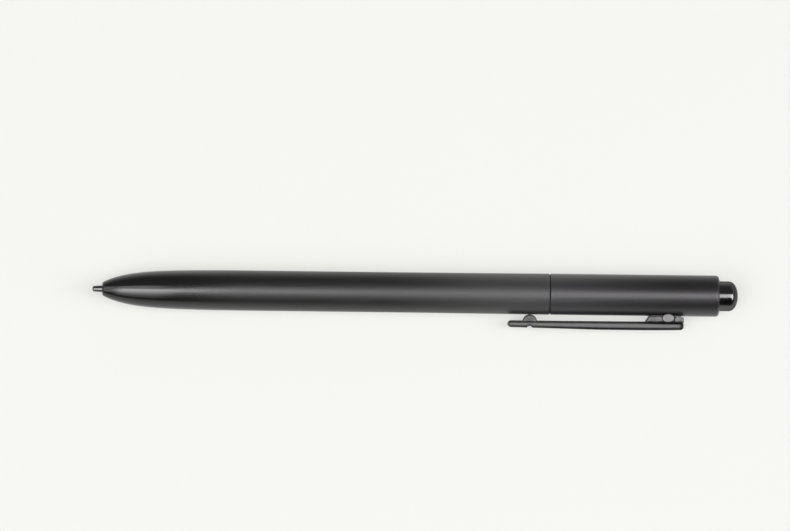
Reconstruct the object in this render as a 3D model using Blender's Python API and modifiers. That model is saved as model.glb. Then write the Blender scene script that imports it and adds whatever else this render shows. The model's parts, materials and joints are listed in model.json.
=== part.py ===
"""Stylus pen with a sprung nib, a screw-off rear section, a tail button and a hinged clip.

The pen is drawn along its own axis, nib tip at height 0, and then laid on its side so that the
barrel and the lower edge of the clip rest on the ground. Lengths are in metres.
"""
import math

import bmesh
import bpy
from mathutils import Matrix, Vector

MM = 0.001

# Clearances
FIT = 0.12 * MM           # round pieces seated in one another
FACE_GAP = 0.15 * MM      # faces stacked along the axis
RUN_GAP = 0.08 * MM       # turning and sliding fits
THREAD_GAP = 0.09 * MM    # between the two threads
SPRING_GAP = 0.1 * MM     # a spring's end to its seat

# Barrel
BARREL_R = 4.75 * MM
FRONT_BORE_R = 4.25 * MM
REAR_BORE_R = 4.2 * MM
FRONT_LENGTH = 102.74 * MM
REAR_LENGTH = 38.6 * MM
SEAM_WIDTH = 0.55 * MM
SEAM_DEPTH = 0.4 * MM
SEAM_CHAMFER = 0.12 * MM
TAIL_ROUND_LENGTH = 0.8 * MM
TAIL_LIP = 1.2 * MM

# Nose
NOSE_R = 1.7 * MM
NOSE_FACE_R = 1.45 * MM
NOSE_CHAMFER = 0.3 * MM
NOSE_CURVE = 6.0 * MM     # length over which the taper falls to 1/e
NOSE_LENGTH = 27.0 * MM
NOSE_WALL = 3.44 * MM

# Nib and pressure sensor
NIB_OUT = 2.36 * MM
NIB_TIP_R = 0.62 * MM
NIB_ROOT_R = 0.78 * MM
NIB_ROUND = 0.45 * MM
NIB_NECK = 2.2 * MM       # full thickness carried on inside the nose
NIB_STEM_R = 0.6 * MM
NIB_STROKE = 0.4 * MM
ELECTRODE_LENGTH = 4.5 * MM
ELECTRODE_WALL = 1.15 * MM
BUSH_LENGTH = 5.9 * MM
HOLDER_R = 1.35 * MM
HOLDER_LEAD = 0.9 * MM    # from the front of the bush to the front of the holder
BUSH_WALL = 1.36 * MM
FLANGE_R = 2.3 * MM
FLANGE_LENGTH = 1.0 * MM
STUD_R = 0.7 * MM
STUD_LENGTH = 3.4 * MM
SENSOR_R = 3.45 * MM
SENSOR_LENGTH = 2.1 * MM
NIB_SPRING_R = 1.5 * MM
NIB_WIRE_R = 0.16 * MM
NIB_TURNS = 5

# Boards, shared by both frames
FRAME_WALL = 1.3 * MM
FRAME_CHANNEL_WIDTH = 3.8 * MM
FRAME_CHANNEL_DEPTH = 2.4 * MM
BOARD_WIDTH = 6.4 * MM
BOARD_THICK = 0.8 * MM
CHIP_SIDE = 4.0 * MM
CHIP_HEIGHT = 0.9 * MM
COIL_R = 1.6 * MM
COIL_HEIGHT = 1.4 * MM
RADIO_LENGTH = 5.0 * MM
RADIO_WIDTH = 3.2 * MM

# Cell and its contacts
CELL_R = 4.1 * MM
CELL_LENGTH = 42.5 * MM
CELL_NUB_R = 1.7 * MM
CELL_NUB_LENGTH = 0.9 * MM
CELL_EDGE = 0.25 * MM
CONTACT_R = 2.6 * MM
CONTACT_THICK = 0.5 * MM
CONTACT_TAIL_R = 0.6 * MM
RIVET_HEAD_R = 3.0 * MM
RIVET_HEAD = 0.4 * MM
RIVET_R = 0.7 * MM
CELL_SPRING_LENGTH = 1.7 * MM
CELL_SPRING_TOP_R = 1.4 * MM
CELL_SPRING_BASE_R = 2.5 * MM
CELL_WIRE_R = 0.17 * MM
CELL_TURNS = 3

# Threaded coupling
PLUG_REACH = 5.6 * MM
PLUG_GRIP = 6.5 * MM
PLUG_R = 4.05 * MM
PLUG_NECK_R = 3.85 * MM
PLUG_BORE_R = 3.0 * MM
PLUG_WALL = 3.5 * MM
PLUG_CHAMFER = 0.25 * MM
THREAD_PITCH = 1.0 * MM
THREAD_CREST_R = 4.38 * MM
THREAD_ROOT_R = 3.9 * MM
THREAD_CREST_HALF = 0.05 * MM
THREAD_ROOT_HALF = 0.4 * MM
THREAD_LEAD = 1.6 * MM    # plain nose of the coupling in front of the thread
THREAD_TURNS = 3

# Tail button and switch
BUTTON_R = 3.45 * MM
BUTTON_OUT = 4.4 * MM
BUTTON_DOME = 1.95 * MM
BUTTON_STROKE = 1.0 * MM
BUTTON_MARGIN = 0.25 * MM
BUTTON_ROOF = 2.6 * MM
BUTTON_CUP_R = 2.5 * MM
BUTTON_BOSS_R = 0.9 * MM
BUTTON_FLANGE_R = 4.05 * MM
BUTTON_FLANGE = 0.8 * MM
BEZEL_WALL = 0.23 * MM
BEZEL_FLANGE = 0.5 * MM
BEZEL_OUT = 0.15 * MM
SWITCH_SIDE = 4.5 * MM
SWITCH_HEIGHT = 1.8 * MM
SWITCH_FLOOR = 0.3 * MM
PLUNGER_R = 0.8 * MM
PLUNGER_LENGTH = 1.9 * MM
BUTTON_SPRING_R = 1.75 * MM
BUTTON_WIRE_R = 0.18 * MM
BUTTON_TURNS = 6

# Clip
CLIP_WIDTH = 4.4 * MM
CLIP_TIP_Z = 95.6 * MM
CLIP_LENGTH = 40.45 * MM
CLIP_GAP = 1.36 * MM      # barrel to the inner face of the clip
CLIP_THICK = 1.93 * MM
CLIP_TIP_THICK = 1.56 * MM
CLIP_TAPER = 21.0 * MM
CLIP_EDGE = 0.25 * MM
CLIP_HEEL_R = 0.7 * MM
BUMP_R = 1.68 * MM
BUMP_WIDTH = 3.8 * MM
BUMP_FROM_TIP = 5.2 * MM
BUMP_TOUCH = 0.1 * MM     # bump to barrel with the clip shut
NOTCH_R = 0.7 * MM
NOTCH_DEPTH = 0.36 * MM
CHEEK_THICK = 0.45 * MM
CHEEK_INSET = 0.15 * MM
CHEEK_LENGTH = 8.6 * MM
CHEEK_RAKE = 1.1 * MM
CHEEK_RISE = 0.12 * MM    # barrel to the cheek's lower edge, at mid clip
CHEEK_HEEL = 0.85 * MM
CHEEK_HEEL_RISE = 0.35 * MM
CHEEK_LOBE_R = 0.7 * MM

# Clip pin, lug, screw and spring
PIN_FROM_HEEL = 3.45 * MM
PIN_RISE = 0.5 * MM       # pin axis above the barrel
PIN_R = 0.4 * MM
PIN_SHOULDER_R = 0.62 * MM
PIN_HEAD_R = 0.93 * MM
PIN_HEAD = 0.28 * MM
LUG_FRONT = 4.0 * MM      # ahead of the pin
LUG_REAR = 2.95 * MM      # behind the pin
LUG_RISE = 1.12 * MM
LUG_HEEL_DROP = 0.33 * MM
LUG_FLAT = 0.6 * MM       # level top carried on behind the pin
LUG_SEAT = 0.1 * MM
SCREW_AHEAD = 2.5 * MM
SCREW_R = 0.45 * MM
SCREW_HEAD_R = 0.8 * MM
SCREW_HEAD = 0.5 * MM
SCREW_GRIP = 0.75 * MM    # thread length inside the lug
CLIP_SPRING_BEHIND = 1.95 * MM
CLIP_SPRING_R = 0.55 * MM
CLIP_WIRE_R = 0.12 * MM
CLIP_TURNS = 3

# Fineness of the round pieces
BARREL_STEPS = 36
PIECE_STEPS = 24
THREAD_STEPS = 24
NOSE_POINTS = 13
ARC_POINTS = 6
COIL_POINTS = 8
MERGE = 0.000005
FLAT_ANGLE = math.radians(0.5)

# Stations along the axis, worked out from the sizes above
NOSE_Z = NIB_OUT
FRONT_END = NOSE_Z + FRONT_LENGTH
REAR_START = FRONT_END + SEAM_WIDTH
REAR_END = REAR_START + REAR_LENGTH
TAIL_Z = REAR_END + BUTTON_OUT

ELECTRODE_Z = NOSE_Z + NOSE_WALL
ELECTRODE_END = ELECTRODE_Z + ELECTRODE_LENGTH
BUSH_Z = ELECTRODE_END + 2 * FACE_GAP
BUSH_END = BUSH_Z + BUSH_LENGTH
HOLDER_Z = BUSH_Z + HOLDER_LEAD
FLANGE_Z = BUSH_END + FACE_GAP
FLANGE_END = FLANGE_Z + FLANGE_LENGTH
STUD_END = FLANGE_END + STUD_LENGTH
SENSOR_Z = STUD_END + NIB_STROKE + FACE_GAP
SENSOR_END = SENSOR_Z + SENSOR_LENGTH
NIB_END = FLANGE_Z - FACE_GAP

PLUG_Z = FRONT_END - PLUG_REACH
PLUG_END = REAR_START + PLUG_GRIP
RIVET_Z = PLUG_Z - FIT - RIVET_HEAD
CELL_END = RIVET_Z - CELL_SPRING_LENGTH - 2 * SPRING_GAP
CELL_Z = CELL_END - CELL_LENGTH
CONTACT_Z = CELL_Z - FACE_GAP - CONTACT_THICK
BOARD_FRAME_Z = SENSOR_END + FACE_GAP
BOARD_FRAME_END = CONTACT_Z - FACE_GAP

LIP_Z = REAR_END - TAIL_LIP
BEZEL_Z = LIP_Z - FACE_GAP - BEZEL_FLANGE
BUTTON_FLANGE_Z = BEZEL_Z - FACE_GAP - BUTTON_FLANGE
SWITCH_END = BUTTON_FLANGE_Z - BUTTON_STROKE - BUTTON_MARGIN
SWITCH_Z = SWITCH_END - SWITCH_HEIGHT
REAR_FRAME_Z = PLUG_END + FACE_GAP
REAR_FRAME_END = SWITCH_Z - FACE_GAP
CUP_ROOF_Z = TAIL_Z - BUTTON_ROOF
PLUNGER_Z = SWITCH_Z + SWITCH_FLOOR + BUTTON_STROKE + FACE_GAP
PLUNGER_END = PLUNGER_Z + PLUNGER_LENGTH

# Radii that follow from the fits
BEZEL_BORE_R = BUTTON_R + FIT
BEZEL_R = BEZEL_BORE_R + BEZEL_WALL
LIP_R = BEZEL_R + FIT
ELECTRODE_BORE_R = NIB_STEM_R + FIT
ELECTRODE_R = ELECTRODE_BORE_R + ELECTRODE_WALL
BUSH_BORE_R = HOLDER_R + RUN_GAP
BUSH_R = BUSH_BORE_R + BUSH_WALL

# Clip stations, heights measured outwards from the pen's axis
CLIP_HEEL_Z = CLIP_TIP_Z + CLIP_LENGTH
CLIP_IN = BARREL_R + CLIP_GAP
CLIP_OUT = CLIP_IN + CLIP_THICK
PIN_Z = CLIP_HEEL_Z - PIN_FROM_HEEL
PIN_X = BARREL_R + PIN_RISE
CHEEK_OUT = CLIP_WIDTH / 2 - CHEEK_INSET
CHEEK_IN = CHEEK_OUT - CHEEK_THICK
LUG_HALF = CHEEK_IN - FACE_GAP
LUG_TOP = BARREL_R + LUG_RISE
SCREW_Z = PIN_Z - SCREW_AHEAD
CLIP_SPRING_Z = PIN_Z + CLIP_SPRING_BEHIND


def clear_scene():
    for obj in list(bpy.data.objects):
        bpy.data.objects.remove(obj, do_unlink=True)
    for group in list(bpy.data.collections):
        bpy.data.collections.remove(group)


def add_collection(name):
    group = bpy.data.collections.new(name)
    bpy.context.scene.collection.children.link(group)
    return group


def add_material(name, colour, roughness, metallic):
    finish = bpy.data.materials.new(name)
    finish.use_nodes = True
    shader = finish.node_tree.nodes["Principled BSDF"]
    shader.inputs["Base Color"].default_value = (*colour, 1.0)
    shader.inputs["Roughness"].default_value = roughness
    shader.inputs["Metallic"].default_value = metallic
    finish.diffuse_color = (*colour, 1.0)
    return finish


def add_empty(name, place, parent=None):
    """An empty at a place in the pen's own frame, carrying the pieces of one body."""
    empty = bpy.data.objects.new(name, None)
    empty.empty_display_size = BARREL_R
    empty.location = place
    if parent is not None:
        empty.parent = parent
        empty.matrix_parent_inverse = Matrix.Translation(-Vector(parent["place"]))
    empty["place"] = place
    parts.objects.link(empty)
    return empty


def keep(obj, body, colour, roughness, metallic=0.0):
    """Makes the object a piece of the pen, carried by its body's empty."""
    parts.objects.link(obj)
    obj.data.materials.clear()
    obj.data.materials.append(add_material(obj.name, colour, roughness, metallic))
    carry(obj, body)
    return obj


def carry(obj, body):
    obj.parent = body
    obj.matrix_parent_inverse = Matrix.Translation(-Vector(body["place"]))


def combine(target, tool, operation):
    """Cuts, joins or trims the target with a hidden tool on the same body."""
    cutters.objects.link(tool)
    tool.hide_render = True
    tool.display_type = 'WIRE'
    carry(tool, target.parent)
    step = target.modifiers.new(tool.name, 'BOOLEAN')
    step.operation = operation
    step.solver = 'EXACT'
    step.object = tool


def turned(name, outer, inner=(), steps=PIECE_STEPS):
    """A turned piece. Both sides list (radius, height) from the nib end to the tail end."""
    profile = list(reversed(outer)) + list(inner)
    corners = [(radius, 0.0, height) for radius, height in profile]
    edges = [(i, i + 1) for i in range(len(corners) - 1)]
    if inner:
        edges.append((len(corners) - 1, 0))
    mesh = bpy.data.meshes.new(name)
    mesh.from_pydata(corners, edges, [])
    obj = bpy.data.objects.new(name, mesh)
    spin = obj.modifiers.new("turn", 'SCREW')
    spin.axis = 'Z'
    spin.angle = 2 * math.pi
    spin.steps = steps
    spin.render_steps = steps
    spin.use_merge_vertices = True
    spin.merge_threshold = MERGE
    return obj


def solid_cylinder(name, radius, start, end, steps=PIECE_STEPS):
    return turned(name, [(0.0, start), (radius, start), (radius, end), (0.0, end)], steps=steps)


def ring(name, inner_r, outer_r, start, end, steps=PIECE_STEPS):
    return turned(name, [(outer_r, start), (outer_r, end)], [(inner_r, start), (inner_r, end)], steps)


def primitive(name, build):
    """An object from one bmesh primitive, made by the given function."""
    shape = bmesh.new()
    build(shape)
    mesh = bpy.data.meshes.new(name)
    shape.to_mesh(mesh)
    shape.free()
    return bpy.data.objects.new(name, mesh)


def block(name, low, high):
    low, high = Vector(low), Vector(high)
    size = high - low
    place = Matrix.Translation((low + high) / 2) @ Matrix.Diagonal((*size, 1.0))
    return primitive(name, lambda shape: bmesh.ops.create_cube(shape, size=1.0, matrix=place))


def rod(name, radius, axis, start, length, steps=PIECE_STEPS):
    """A plain cylinder from a start point along a direction."""
    axis = Vector(axis)
    turn = axis.to_track_quat('Z', 'Y').to_matrix().to_4x4()
    place = Matrix.Translation(Vector(start) + axis * (length / 2)) @ turn
    return primitive(name, lambda shape: bmesh.ops.create_cone(
        shape, cap_ends=True, segments=steps, radius1=radius, radius2=radius, depth=length, matrix=place))


def as_mesh(source):
    """Replaces a curve, or an object with modifiers, by the mesh that it shows."""
    bpy.context.scene.collection.objects.link(source)
    bpy.context.view_layer.update()
    shown = source.evaluated_get(bpy.context.evaluated_depsgraph_get())
    mesh = bpy.data.meshes.new_from_object(shown)
    name = source.name
    place = source.matrix_world.copy()
    bpy.data.objects.remove(source, do_unlink=True)
    shape = bmesh.new()
    shape.from_mesh(mesh)
    bmesh.ops.remove_doubles(shape, verts=shape.verts, dist=MERGE)
    bmesh.ops.holes_fill(shape, edges=shape.edges, sides=0)
    bmesh.ops.dissolve_limit(shape, angle_limit=FLAT_ANGLE, verts=shape.verts, edges=shape.edges)
    bmesh.ops.recalc_face_normals(shape, faces=shape.faces)
    shape.to_mesh(mesh)
    shape.free()
    obj = bpy.data.objects.new(name, mesh)
    obj.matrix_world = place
    return obj


def plate(name, loops, middle, thick):
    """A flat plate in the plane of the clip: loops of (height, distance from the axis)."""
    curve = bpy.data.curves.new(name, 'CURVE')
    curve.dimensions = '2D'
    curve.fill_mode = 'BOTH'
    curve.extrude = thick / 2
    for loop in loops:
        spline = curve.splines.new('POLY')
        spline.points.add(len(loop) - 1)
        for point, (along, out) in zip(spline.points, loop):
            point.co = (along, out, 0.0, 1.0)
        spline.use_cyclic_u = True
    obj = bpy.data.objects.new(name, curve)
    columns = Matrix(((0, 1, 0), (0, 0, 1), (1, 0, 0)))
    obj.matrix_world = Matrix.Translation((0.0, middle, 0.0)) @ columns.to_4x4()
    return as_mesh(obj)


def arc(centre, radius, start, end, count=ARC_POINTS):
    """Points of an arc in the clip's plane, angles in degrees from the tail direction."""
    points = []
    for i in range(count + 1):
        angle = math.radians(start + (end - start) * i / count)
        points.append((centre[0] + radius * math.cos(angle), centre[1] + radius * math.sin(angle)))
    return points


def coil(name, wire_r, turns, start_r, end_r, length):
    """A spring wire wound along +Z from the origin, its radius changing evenly."""
    curve = bpy.data.curves.new(name, 'CURVE')
    curve.dimensions = '3D'
    curve.bevel_depth = wire_r
    curve.bevel_resolution = 1
    curve.use_fill_caps = True
    spline = curve.splines.new('POLY')
    count = turns * COIL_POINTS
    spline.points.add(count)
    for i, point in enumerate(spline.points):
        share = i / count
        angle = 2 * math.pi * turns * share
        radius = start_r + (end_r - start_r) * share
        height = wire_r + (length - 2 * wire_r) * share
        point.co = (radius * math.cos(angle), radius * math.sin(angle), height, 1.0)
    return bpy.data.objects.new(name, curve)


def thread(name, gap, start, turns):
    """A right-hand thread ridge, its flanks and crest grown by a gap."""
    flank = gap * math.hypot(1.0, (THREAD_ROOT_HALF - THREAD_CREST_HALF) / (THREAD_CREST_R - THREAD_ROOT_R))
    section = [
        (THREAD_ROOT_R, -THREAD_ROOT_HALF - flank),
        (THREAD_ROOT_R, THREAD_ROOT_HALF + flank),
        (THREAD_CREST_R + gap, THREAD_CREST_HALF + flank),
        (THREAD_CREST_R + gap, -THREAD_CREST_HALF - flank),
    ]
    mesh = bpy.data.meshes.new(name)
    corners = [(radius, 0.0, start + height) for radius, height in section]
    mesh.from_pydata(corners, [(0, 1), (1, 2), (2, 3), (3, 0)], [])
    obj = bpy.data.objects.new(name, mesh)
    spin = obj.modifiers.new("wind", 'SCREW')
    spin.axis = 'Z'
    spin.angle = 2 * math.pi
    spin.screw_offset = THREAD_PITCH
    spin.iterations = turns
    spin.steps = THREAD_STEPS
    spin.render_steps = THREAD_STEPS
    spin.use_merge_vertices = True
    spin.merge_threshold = MERGE
    return as_mesh(obj)


def nose_radius(along):
    """The nose swells towards the barrel's radius, quickly at first and then ever more slowly."""
    left = math.exp(-NOSE_LENGTH / NOSE_CURVE)
    share = (math.exp(-along / NOSE_CURVE) - left) / (1.0 - left)
    return BARREL_R - (BARREL_R - NOSE_R) * share


def nose_profile():
    start = NOSE_Z + NOSE_CHAMFER
    points = [(NOSE_FACE_R, NOSE_Z)]
    for i in range(NOSE_POINTS + 1):
        along = NOSE_LENGTH * (i / NOSE_POINTS) ** 1.7
        points.append((nose_radius(along), start + along))
    return points


def make_front(front):
    """The barrel's front section, bored in steps from the nib's hole up to the cell's tube."""
    mouth = FRONT_END - SEAM_CHAMFER
    outer = nose_profile() + [(BARREL_R, mouth), (BARREL_R - SEAM_CHAMFER, FRONT_END)]
    nib_hole = NIB_ROOT_R + FIT
    electrode_hole = ELECTRODE_R + FIT
    bush_hole = BUSH_R + FIT
    sensor_hole = SENSOR_R + FIT
    electrode_start = ELECTRODE_Z - FACE_GAP
    bush_start = BUSH_Z - FACE_GAP
    flange_start = BUSH_END - FACE_GAP
    bore_start = SENSOR_END
    inner = [
        (nib_hole, NOSE_Z), (nib_hole, electrode_start),
        (electrode_hole, electrode_start), (electrode_hole, bush_start),
        (bush_hole, bush_start), (bush_hole, flange_start),
        (sensor_hole, flange_start), (sensor_hole, bore_start),
        (FRONT_BORE_R, bore_start), (FRONT_BORE_R, FRONT_END),
    ]
    barrel = turned("front_barrel", outer, inner, BARREL_STEPS)
    barrel.rotation_euler.z = FACET_TURN
    keep(barrel, front, (0.02, 0.02, 0.021), 0.42, 0.3)
    turns = math.ceil((PLUG_REACH - THREAD_LEAD) / THREAD_PITCH) + 2
    groove = thread("front_thread_groove", THREAD_GAP, PLUG_Z + THREAD_LEAD - THREAD_PITCH, turns)
    combine(barrel, groove, 'DIFFERENCE')


def make_nib(front, nib_body):
    neck_end = NIB_OUT + NIB_NECK
    tip = [(0.0, 0.0)]
    for i in range(1, 4):
        angle = math.radians(30 * i)
        tip.append((NIB_TIP_R * math.sin(angle), NIB_ROUND * (1.0 - math.cos(angle))))
    nib = turned("nib", tip + [
        (NIB_ROOT_R, NIB_OUT), (NIB_ROOT_R, neck_end),
        (NIB_STEM_R, neck_end), (NIB_STEM_R, NIB_END), (0.0, NIB_END)])
    keep(nib, nib_body, (0.012, 0.012, 0.013), 0.15)

    socket_r = NIB_STEM_R + FIT
    socket_end = NIB_END + FACE_GAP
    holder = turned("nib_holder", [
        (0.0, socket_end), (socket_r, socket_end), (socket_r, HOLDER_Z),
        (HOLDER_R, HOLDER_Z), (HOLDER_R, FLANGE_Z), (FLANGE_R, FLANGE_Z),
        (FLANGE_R, FLANGE_END), (STUD_R, FLANGE_END), (STUD_R, STUD_END), (0.0, STUD_END)])
    keep(holder, nib_body, (0.75, 0.74, 0.7), 0.4)

    bush = ring("nib_bush", BUSH_BORE_R, BUSH_R, BUSH_Z, BUSH_END)
    keep(bush, front, (0.8, 0.78, 0.72), 0.5)
    electrode = ring("tip_electrode", ELECTRODE_BORE_R, ELECTRODE_R, ELECTRODE_Z, ELECTRODE_END)
    keep(electrode, front, (0.75, 0.55, 0.25), 0.3, 1.0)
    sensor = solid_cylinder("pressure_sensor", SENSOR_R, SENSOR_Z, SENSOR_END)
    keep(sensor, front, (0.3, 0.3, 0.32), 0.4)

    length = SENSOR_Z - FLANGE_END - 2 * SPRING_GAP
    spring = coil("nib_spring", NIB_WIRE_R, NIB_TURNS, NIB_SPRING_R, NIB_SPRING_R, length)
    spring.location.z = FLANGE_END + SPRING_GAP
    keep(spring, front, (0.7, 0.7, 0.7), 0.3, 1.0)


def make_frame(name, body, bore_r, start, end):
    """A carrier that fills the bore behind its board and closes it with a wall at each end."""
    frame = solid_cylinder(name, bore_r - FIT, start, end, BARREL_STEPS)
    frame.rotation_euler.z = math.pi / (2 * BARREL_STEPS)    # no corner lies in the board's plane
    keep(frame, body, (0.08, 0.08, 0.085), 0.6)
    room_start = start + FRAME_WALL
    room_end = end - FRAME_WALL
    room = block(name + "_room", (0.0, -bore_r, room_start), (bore_r, bore_r, room_end))
    combine(frame, room, 'DIFFERENCE')
    half = FRAME_CHANNEL_WIDTH / 2
    channel = block(name + "_channel", (-FRAME_CHANNEL_DEPTH, -half, room_start + FRAME_WALL),
                    (FRAME_WALL, half, room_end - FRAME_WALL))
    combine(frame, channel, 'DIFFERENCE')
    return frame


def make_board(name, body, start, end):
    half = BOARD_WIDTH / 2
    board = block(name, (SPRING_GAP, -half, start), (SPRING_GAP + BOARD_THICK, half, end))
    keep(board, body, (0.02, 0.16, 0.07), 0.5)


def make_front_boards(front):
    frame = make_frame("board_frame", front, FRONT_BORE_R, BOARD_FRAME_Z, BOARD_FRAME_END)
    tail_hole = rod("contact_hole", CONTACT_TAIL_R + FIT, (0, 0, 1),
                    (0, 0, BOARD_FRAME_END - 3 * FRAME_WALL), 4 * FRAME_WALL)
    tail_hole.rotation_euler.z = math.pi / PIECE_STEPS    # no corner lies in the board's plane
    combine(frame, tail_hole, 'DIFFERENCE')
    start = BOARD_FRAME_Z + FRAME_WALL + FACE_GAP
    end = BOARD_FRAME_END - FRAME_WALL - FACE_GAP
    make_board("main_board", front, start, end)

    top = 2 * SPRING_GAP + BOARD_THICK
    chip_z = (start + end) / 2
    half = CHIP_SIDE / 2
    chip = block("control_chip", (top, -half, chip_z - half), (top + CHIP_HEIGHT, half, chip_z + half))
    keep(chip, front, (0.03, 0.03, 0.03), 0.5)
    coil_z = (chip_z + end) / 2
    boost = rod("boost_coil", COIL_R, (1, 0, 0), (top, 0, coil_z), COIL_HEIGHT)
    keep(boost, front, (0.12, 0.11, 0.1), 0.6)

    contact = turned("positive_contact", [
        (0.0, BOARD_FRAME_END - FRAME_WALL), (CONTACT_TAIL_R, BOARD_FRAME_END - FRAME_WALL),
        (CONTACT_TAIL_R, CONTACT_Z), (CONTACT_R, CONTACT_Z),
        (CONTACT_R, CONTACT_Z + CONTACT_THICK), (0.0, CONTACT_Z + CONTACT_THICK)])
    keep(contact, front, (0.8, 0.68, 0.4), 0.3, 1.0)

    shoulder = CELL_Z + CELL_NUB_LENGTH
    cell = turned("battery", [
        (0.0, CELL_Z), (CELL_NUB_R, CELL_Z), (CELL_NUB_R, shoulder), (CELL_R - CELL_EDGE, shoulder),
        (CELL_R, shoulder + CELL_EDGE), (CELL_R, CELL_END - CELL_EDGE),
        (CELL_R - CELL_EDGE, CELL_END), (0.0, CELL_END)], steps=BARREL_STEPS)
    keep(cell, front, (0.55, 0.45, 0.25), 0.35, 0.6)


def make_coupling(slide, rear):
    """The threaded plug that joins the two sections, and the loose ring in the seam."""
    neck_start = FRONT_END - SEAM_WIDTH
    neck_end = REAR_START + FACE_GAP
    hollow_start = PLUG_Z + PLUG_WALL
    grip_r = REAR_BORE_R - FIT
    hole_r = RIVET_R + FIT
    outer = [
        (PLUG_R - PLUG_CHAMFER, PLUG_Z), (PLUG_R, PLUG_Z + PLUG_CHAMFER), (PLUG_R, neck_start),
        (PLUG_NECK_R, neck_start), (PLUG_NECK_R, neck_end), (grip_r, neck_end), (grip_r, PLUG_END),
    ]
    inner = [
        (hole_r, PLUG_Z), (hole_r, hollow_start), (PLUG_BORE_R, hollow_start), (PLUG_BORE_R, PLUG_END),
    ]
    plug = turned("threaded_coupling", outer, inner, BARREL_STEPS)
    keep(plug, rear, (0.5, 0.5, 0.5), 0.35, 1.0)
    combine(plug, thread("coupling_ridge", 0.0, PLUG_Z + THREAD_LEAD, THREAD_TURNS), 'UNION')

    washer = ring("seam_ring", PLUG_NECK_R + FIT, BARREL_R - SEAM_DEPTH,
                  FRONT_END + SPRING_GAP, REAR_START - SPRING_GAP, BARREL_STEPS)
    keep(washer, slide, (0.01, 0.01, 0.01), 0.6)

    rivet = turned("contact_rivet", [
        (0.0, RIVET_Z), (RIVET_HEAD_R, RIVET_Z), (RIVET_HEAD_R, RIVET_Z + RIVET_HEAD),
        (RIVET_R, RIVET_Z + RIVET_HEAD), (RIVET_R, hollow_start), (0.0, hollow_start)])
    keep(rivet, rear, (0.8, 0.68, 0.4), 0.3, 1.0)

    spring = coil("battery_spring", CELL_WIRE_R, CELL_TURNS, CELL_SPRING_TOP_R, CELL_SPRING_BASE_R,
                  CELL_SPRING_LENGTH)
    spring.location.z = CELL_END + SPRING_GAP
    keep(spring, rear, (0.75, 0.75, 0.75), 0.3, 1.0)


def make_rear(rear):
    """The rear section's tube, its boards and the ring that guides the button."""
    outer = [(BARREL_R - SEAM_CHAMFER, REAR_START), (BARREL_R, REAR_START + SEAM_CHAMFER)]
    round_r = BARREL_R - LIP_R - FIT
    round_z = REAR_END - TAIL_ROUND_LENGTH
    for i in range(ARC_POINTS + 1):
        angle = math.radians(90.0 * i / ARC_POINTS)
        outer.append((BARREL_R - round_r * (1.0 - math.cos(angle)),
                      round_z + TAIL_ROUND_LENGTH * math.sin(angle)))
    inner = [(REAR_BORE_R, REAR_START), (REAR_BORE_R, LIP_Z), (LIP_R, LIP_Z), (LIP_R, REAR_END)]
    barrel = turned("rear_barrel", outer, inner, BARREL_STEPS)
    barrel.rotation_euler.z = FACET_TURN
    keep(barrel, rear, (0.02, 0.02, 0.022), 0.42, 0.3)
    screw_hole = rod("barrel_screw_hole", SCREW_R + FIT, (1, 0, 0), (0, 0, SCREW_Z), 2 * BARREL_R)
    combine(barrel, screw_hole, 'DIFFERENCE')

    make_frame("rear_frame", rear, REAR_BORE_R, REAR_FRAME_Z, REAR_FRAME_END)
    start = REAR_FRAME_Z + FRAME_WALL + FACE_GAP
    end = REAR_FRAME_END - FRAME_WALL - FACE_GAP
    make_board("radio_board", rear, start, end)
    top = 2 * SPRING_GAP + BOARD_THICK
    middle = (start + end) / 2
    radio = block("radio_chip", (top, -RADIO_WIDTH / 2, middle - RADIO_LENGTH / 2),
                  (top + CHIP_HEIGHT, RADIO_WIDTH / 2, middle + RADIO_LENGTH / 2))
    keep(radio, rear, (0.6, 0.6, 0.6), 0.35, 1.0)

    flange_r = REAR_BORE_R - FIT
    flange_end = BEZEL_Z + BEZEL_FLANGE
    rim = REAR_END + BEZEL_OUT
    bezel = turned("button_bezel", [
        (flange_r, BEZEL_Z), (flange_r, flange_end), (BEZEL_R, flange_end),
        (BEZEL_R, REAR_END), (BEZEL_BORE_R + BEZEL_WALL / 2, rim)],
        [(BEZEL_BORE_R, BEZEL_Z), (BEZEL_BORE_R, rim)], BARREL_STEPS)
    keep(bezel, rear, (0.25, 0.25, 0.26), 0.3, 1.0)


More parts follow.
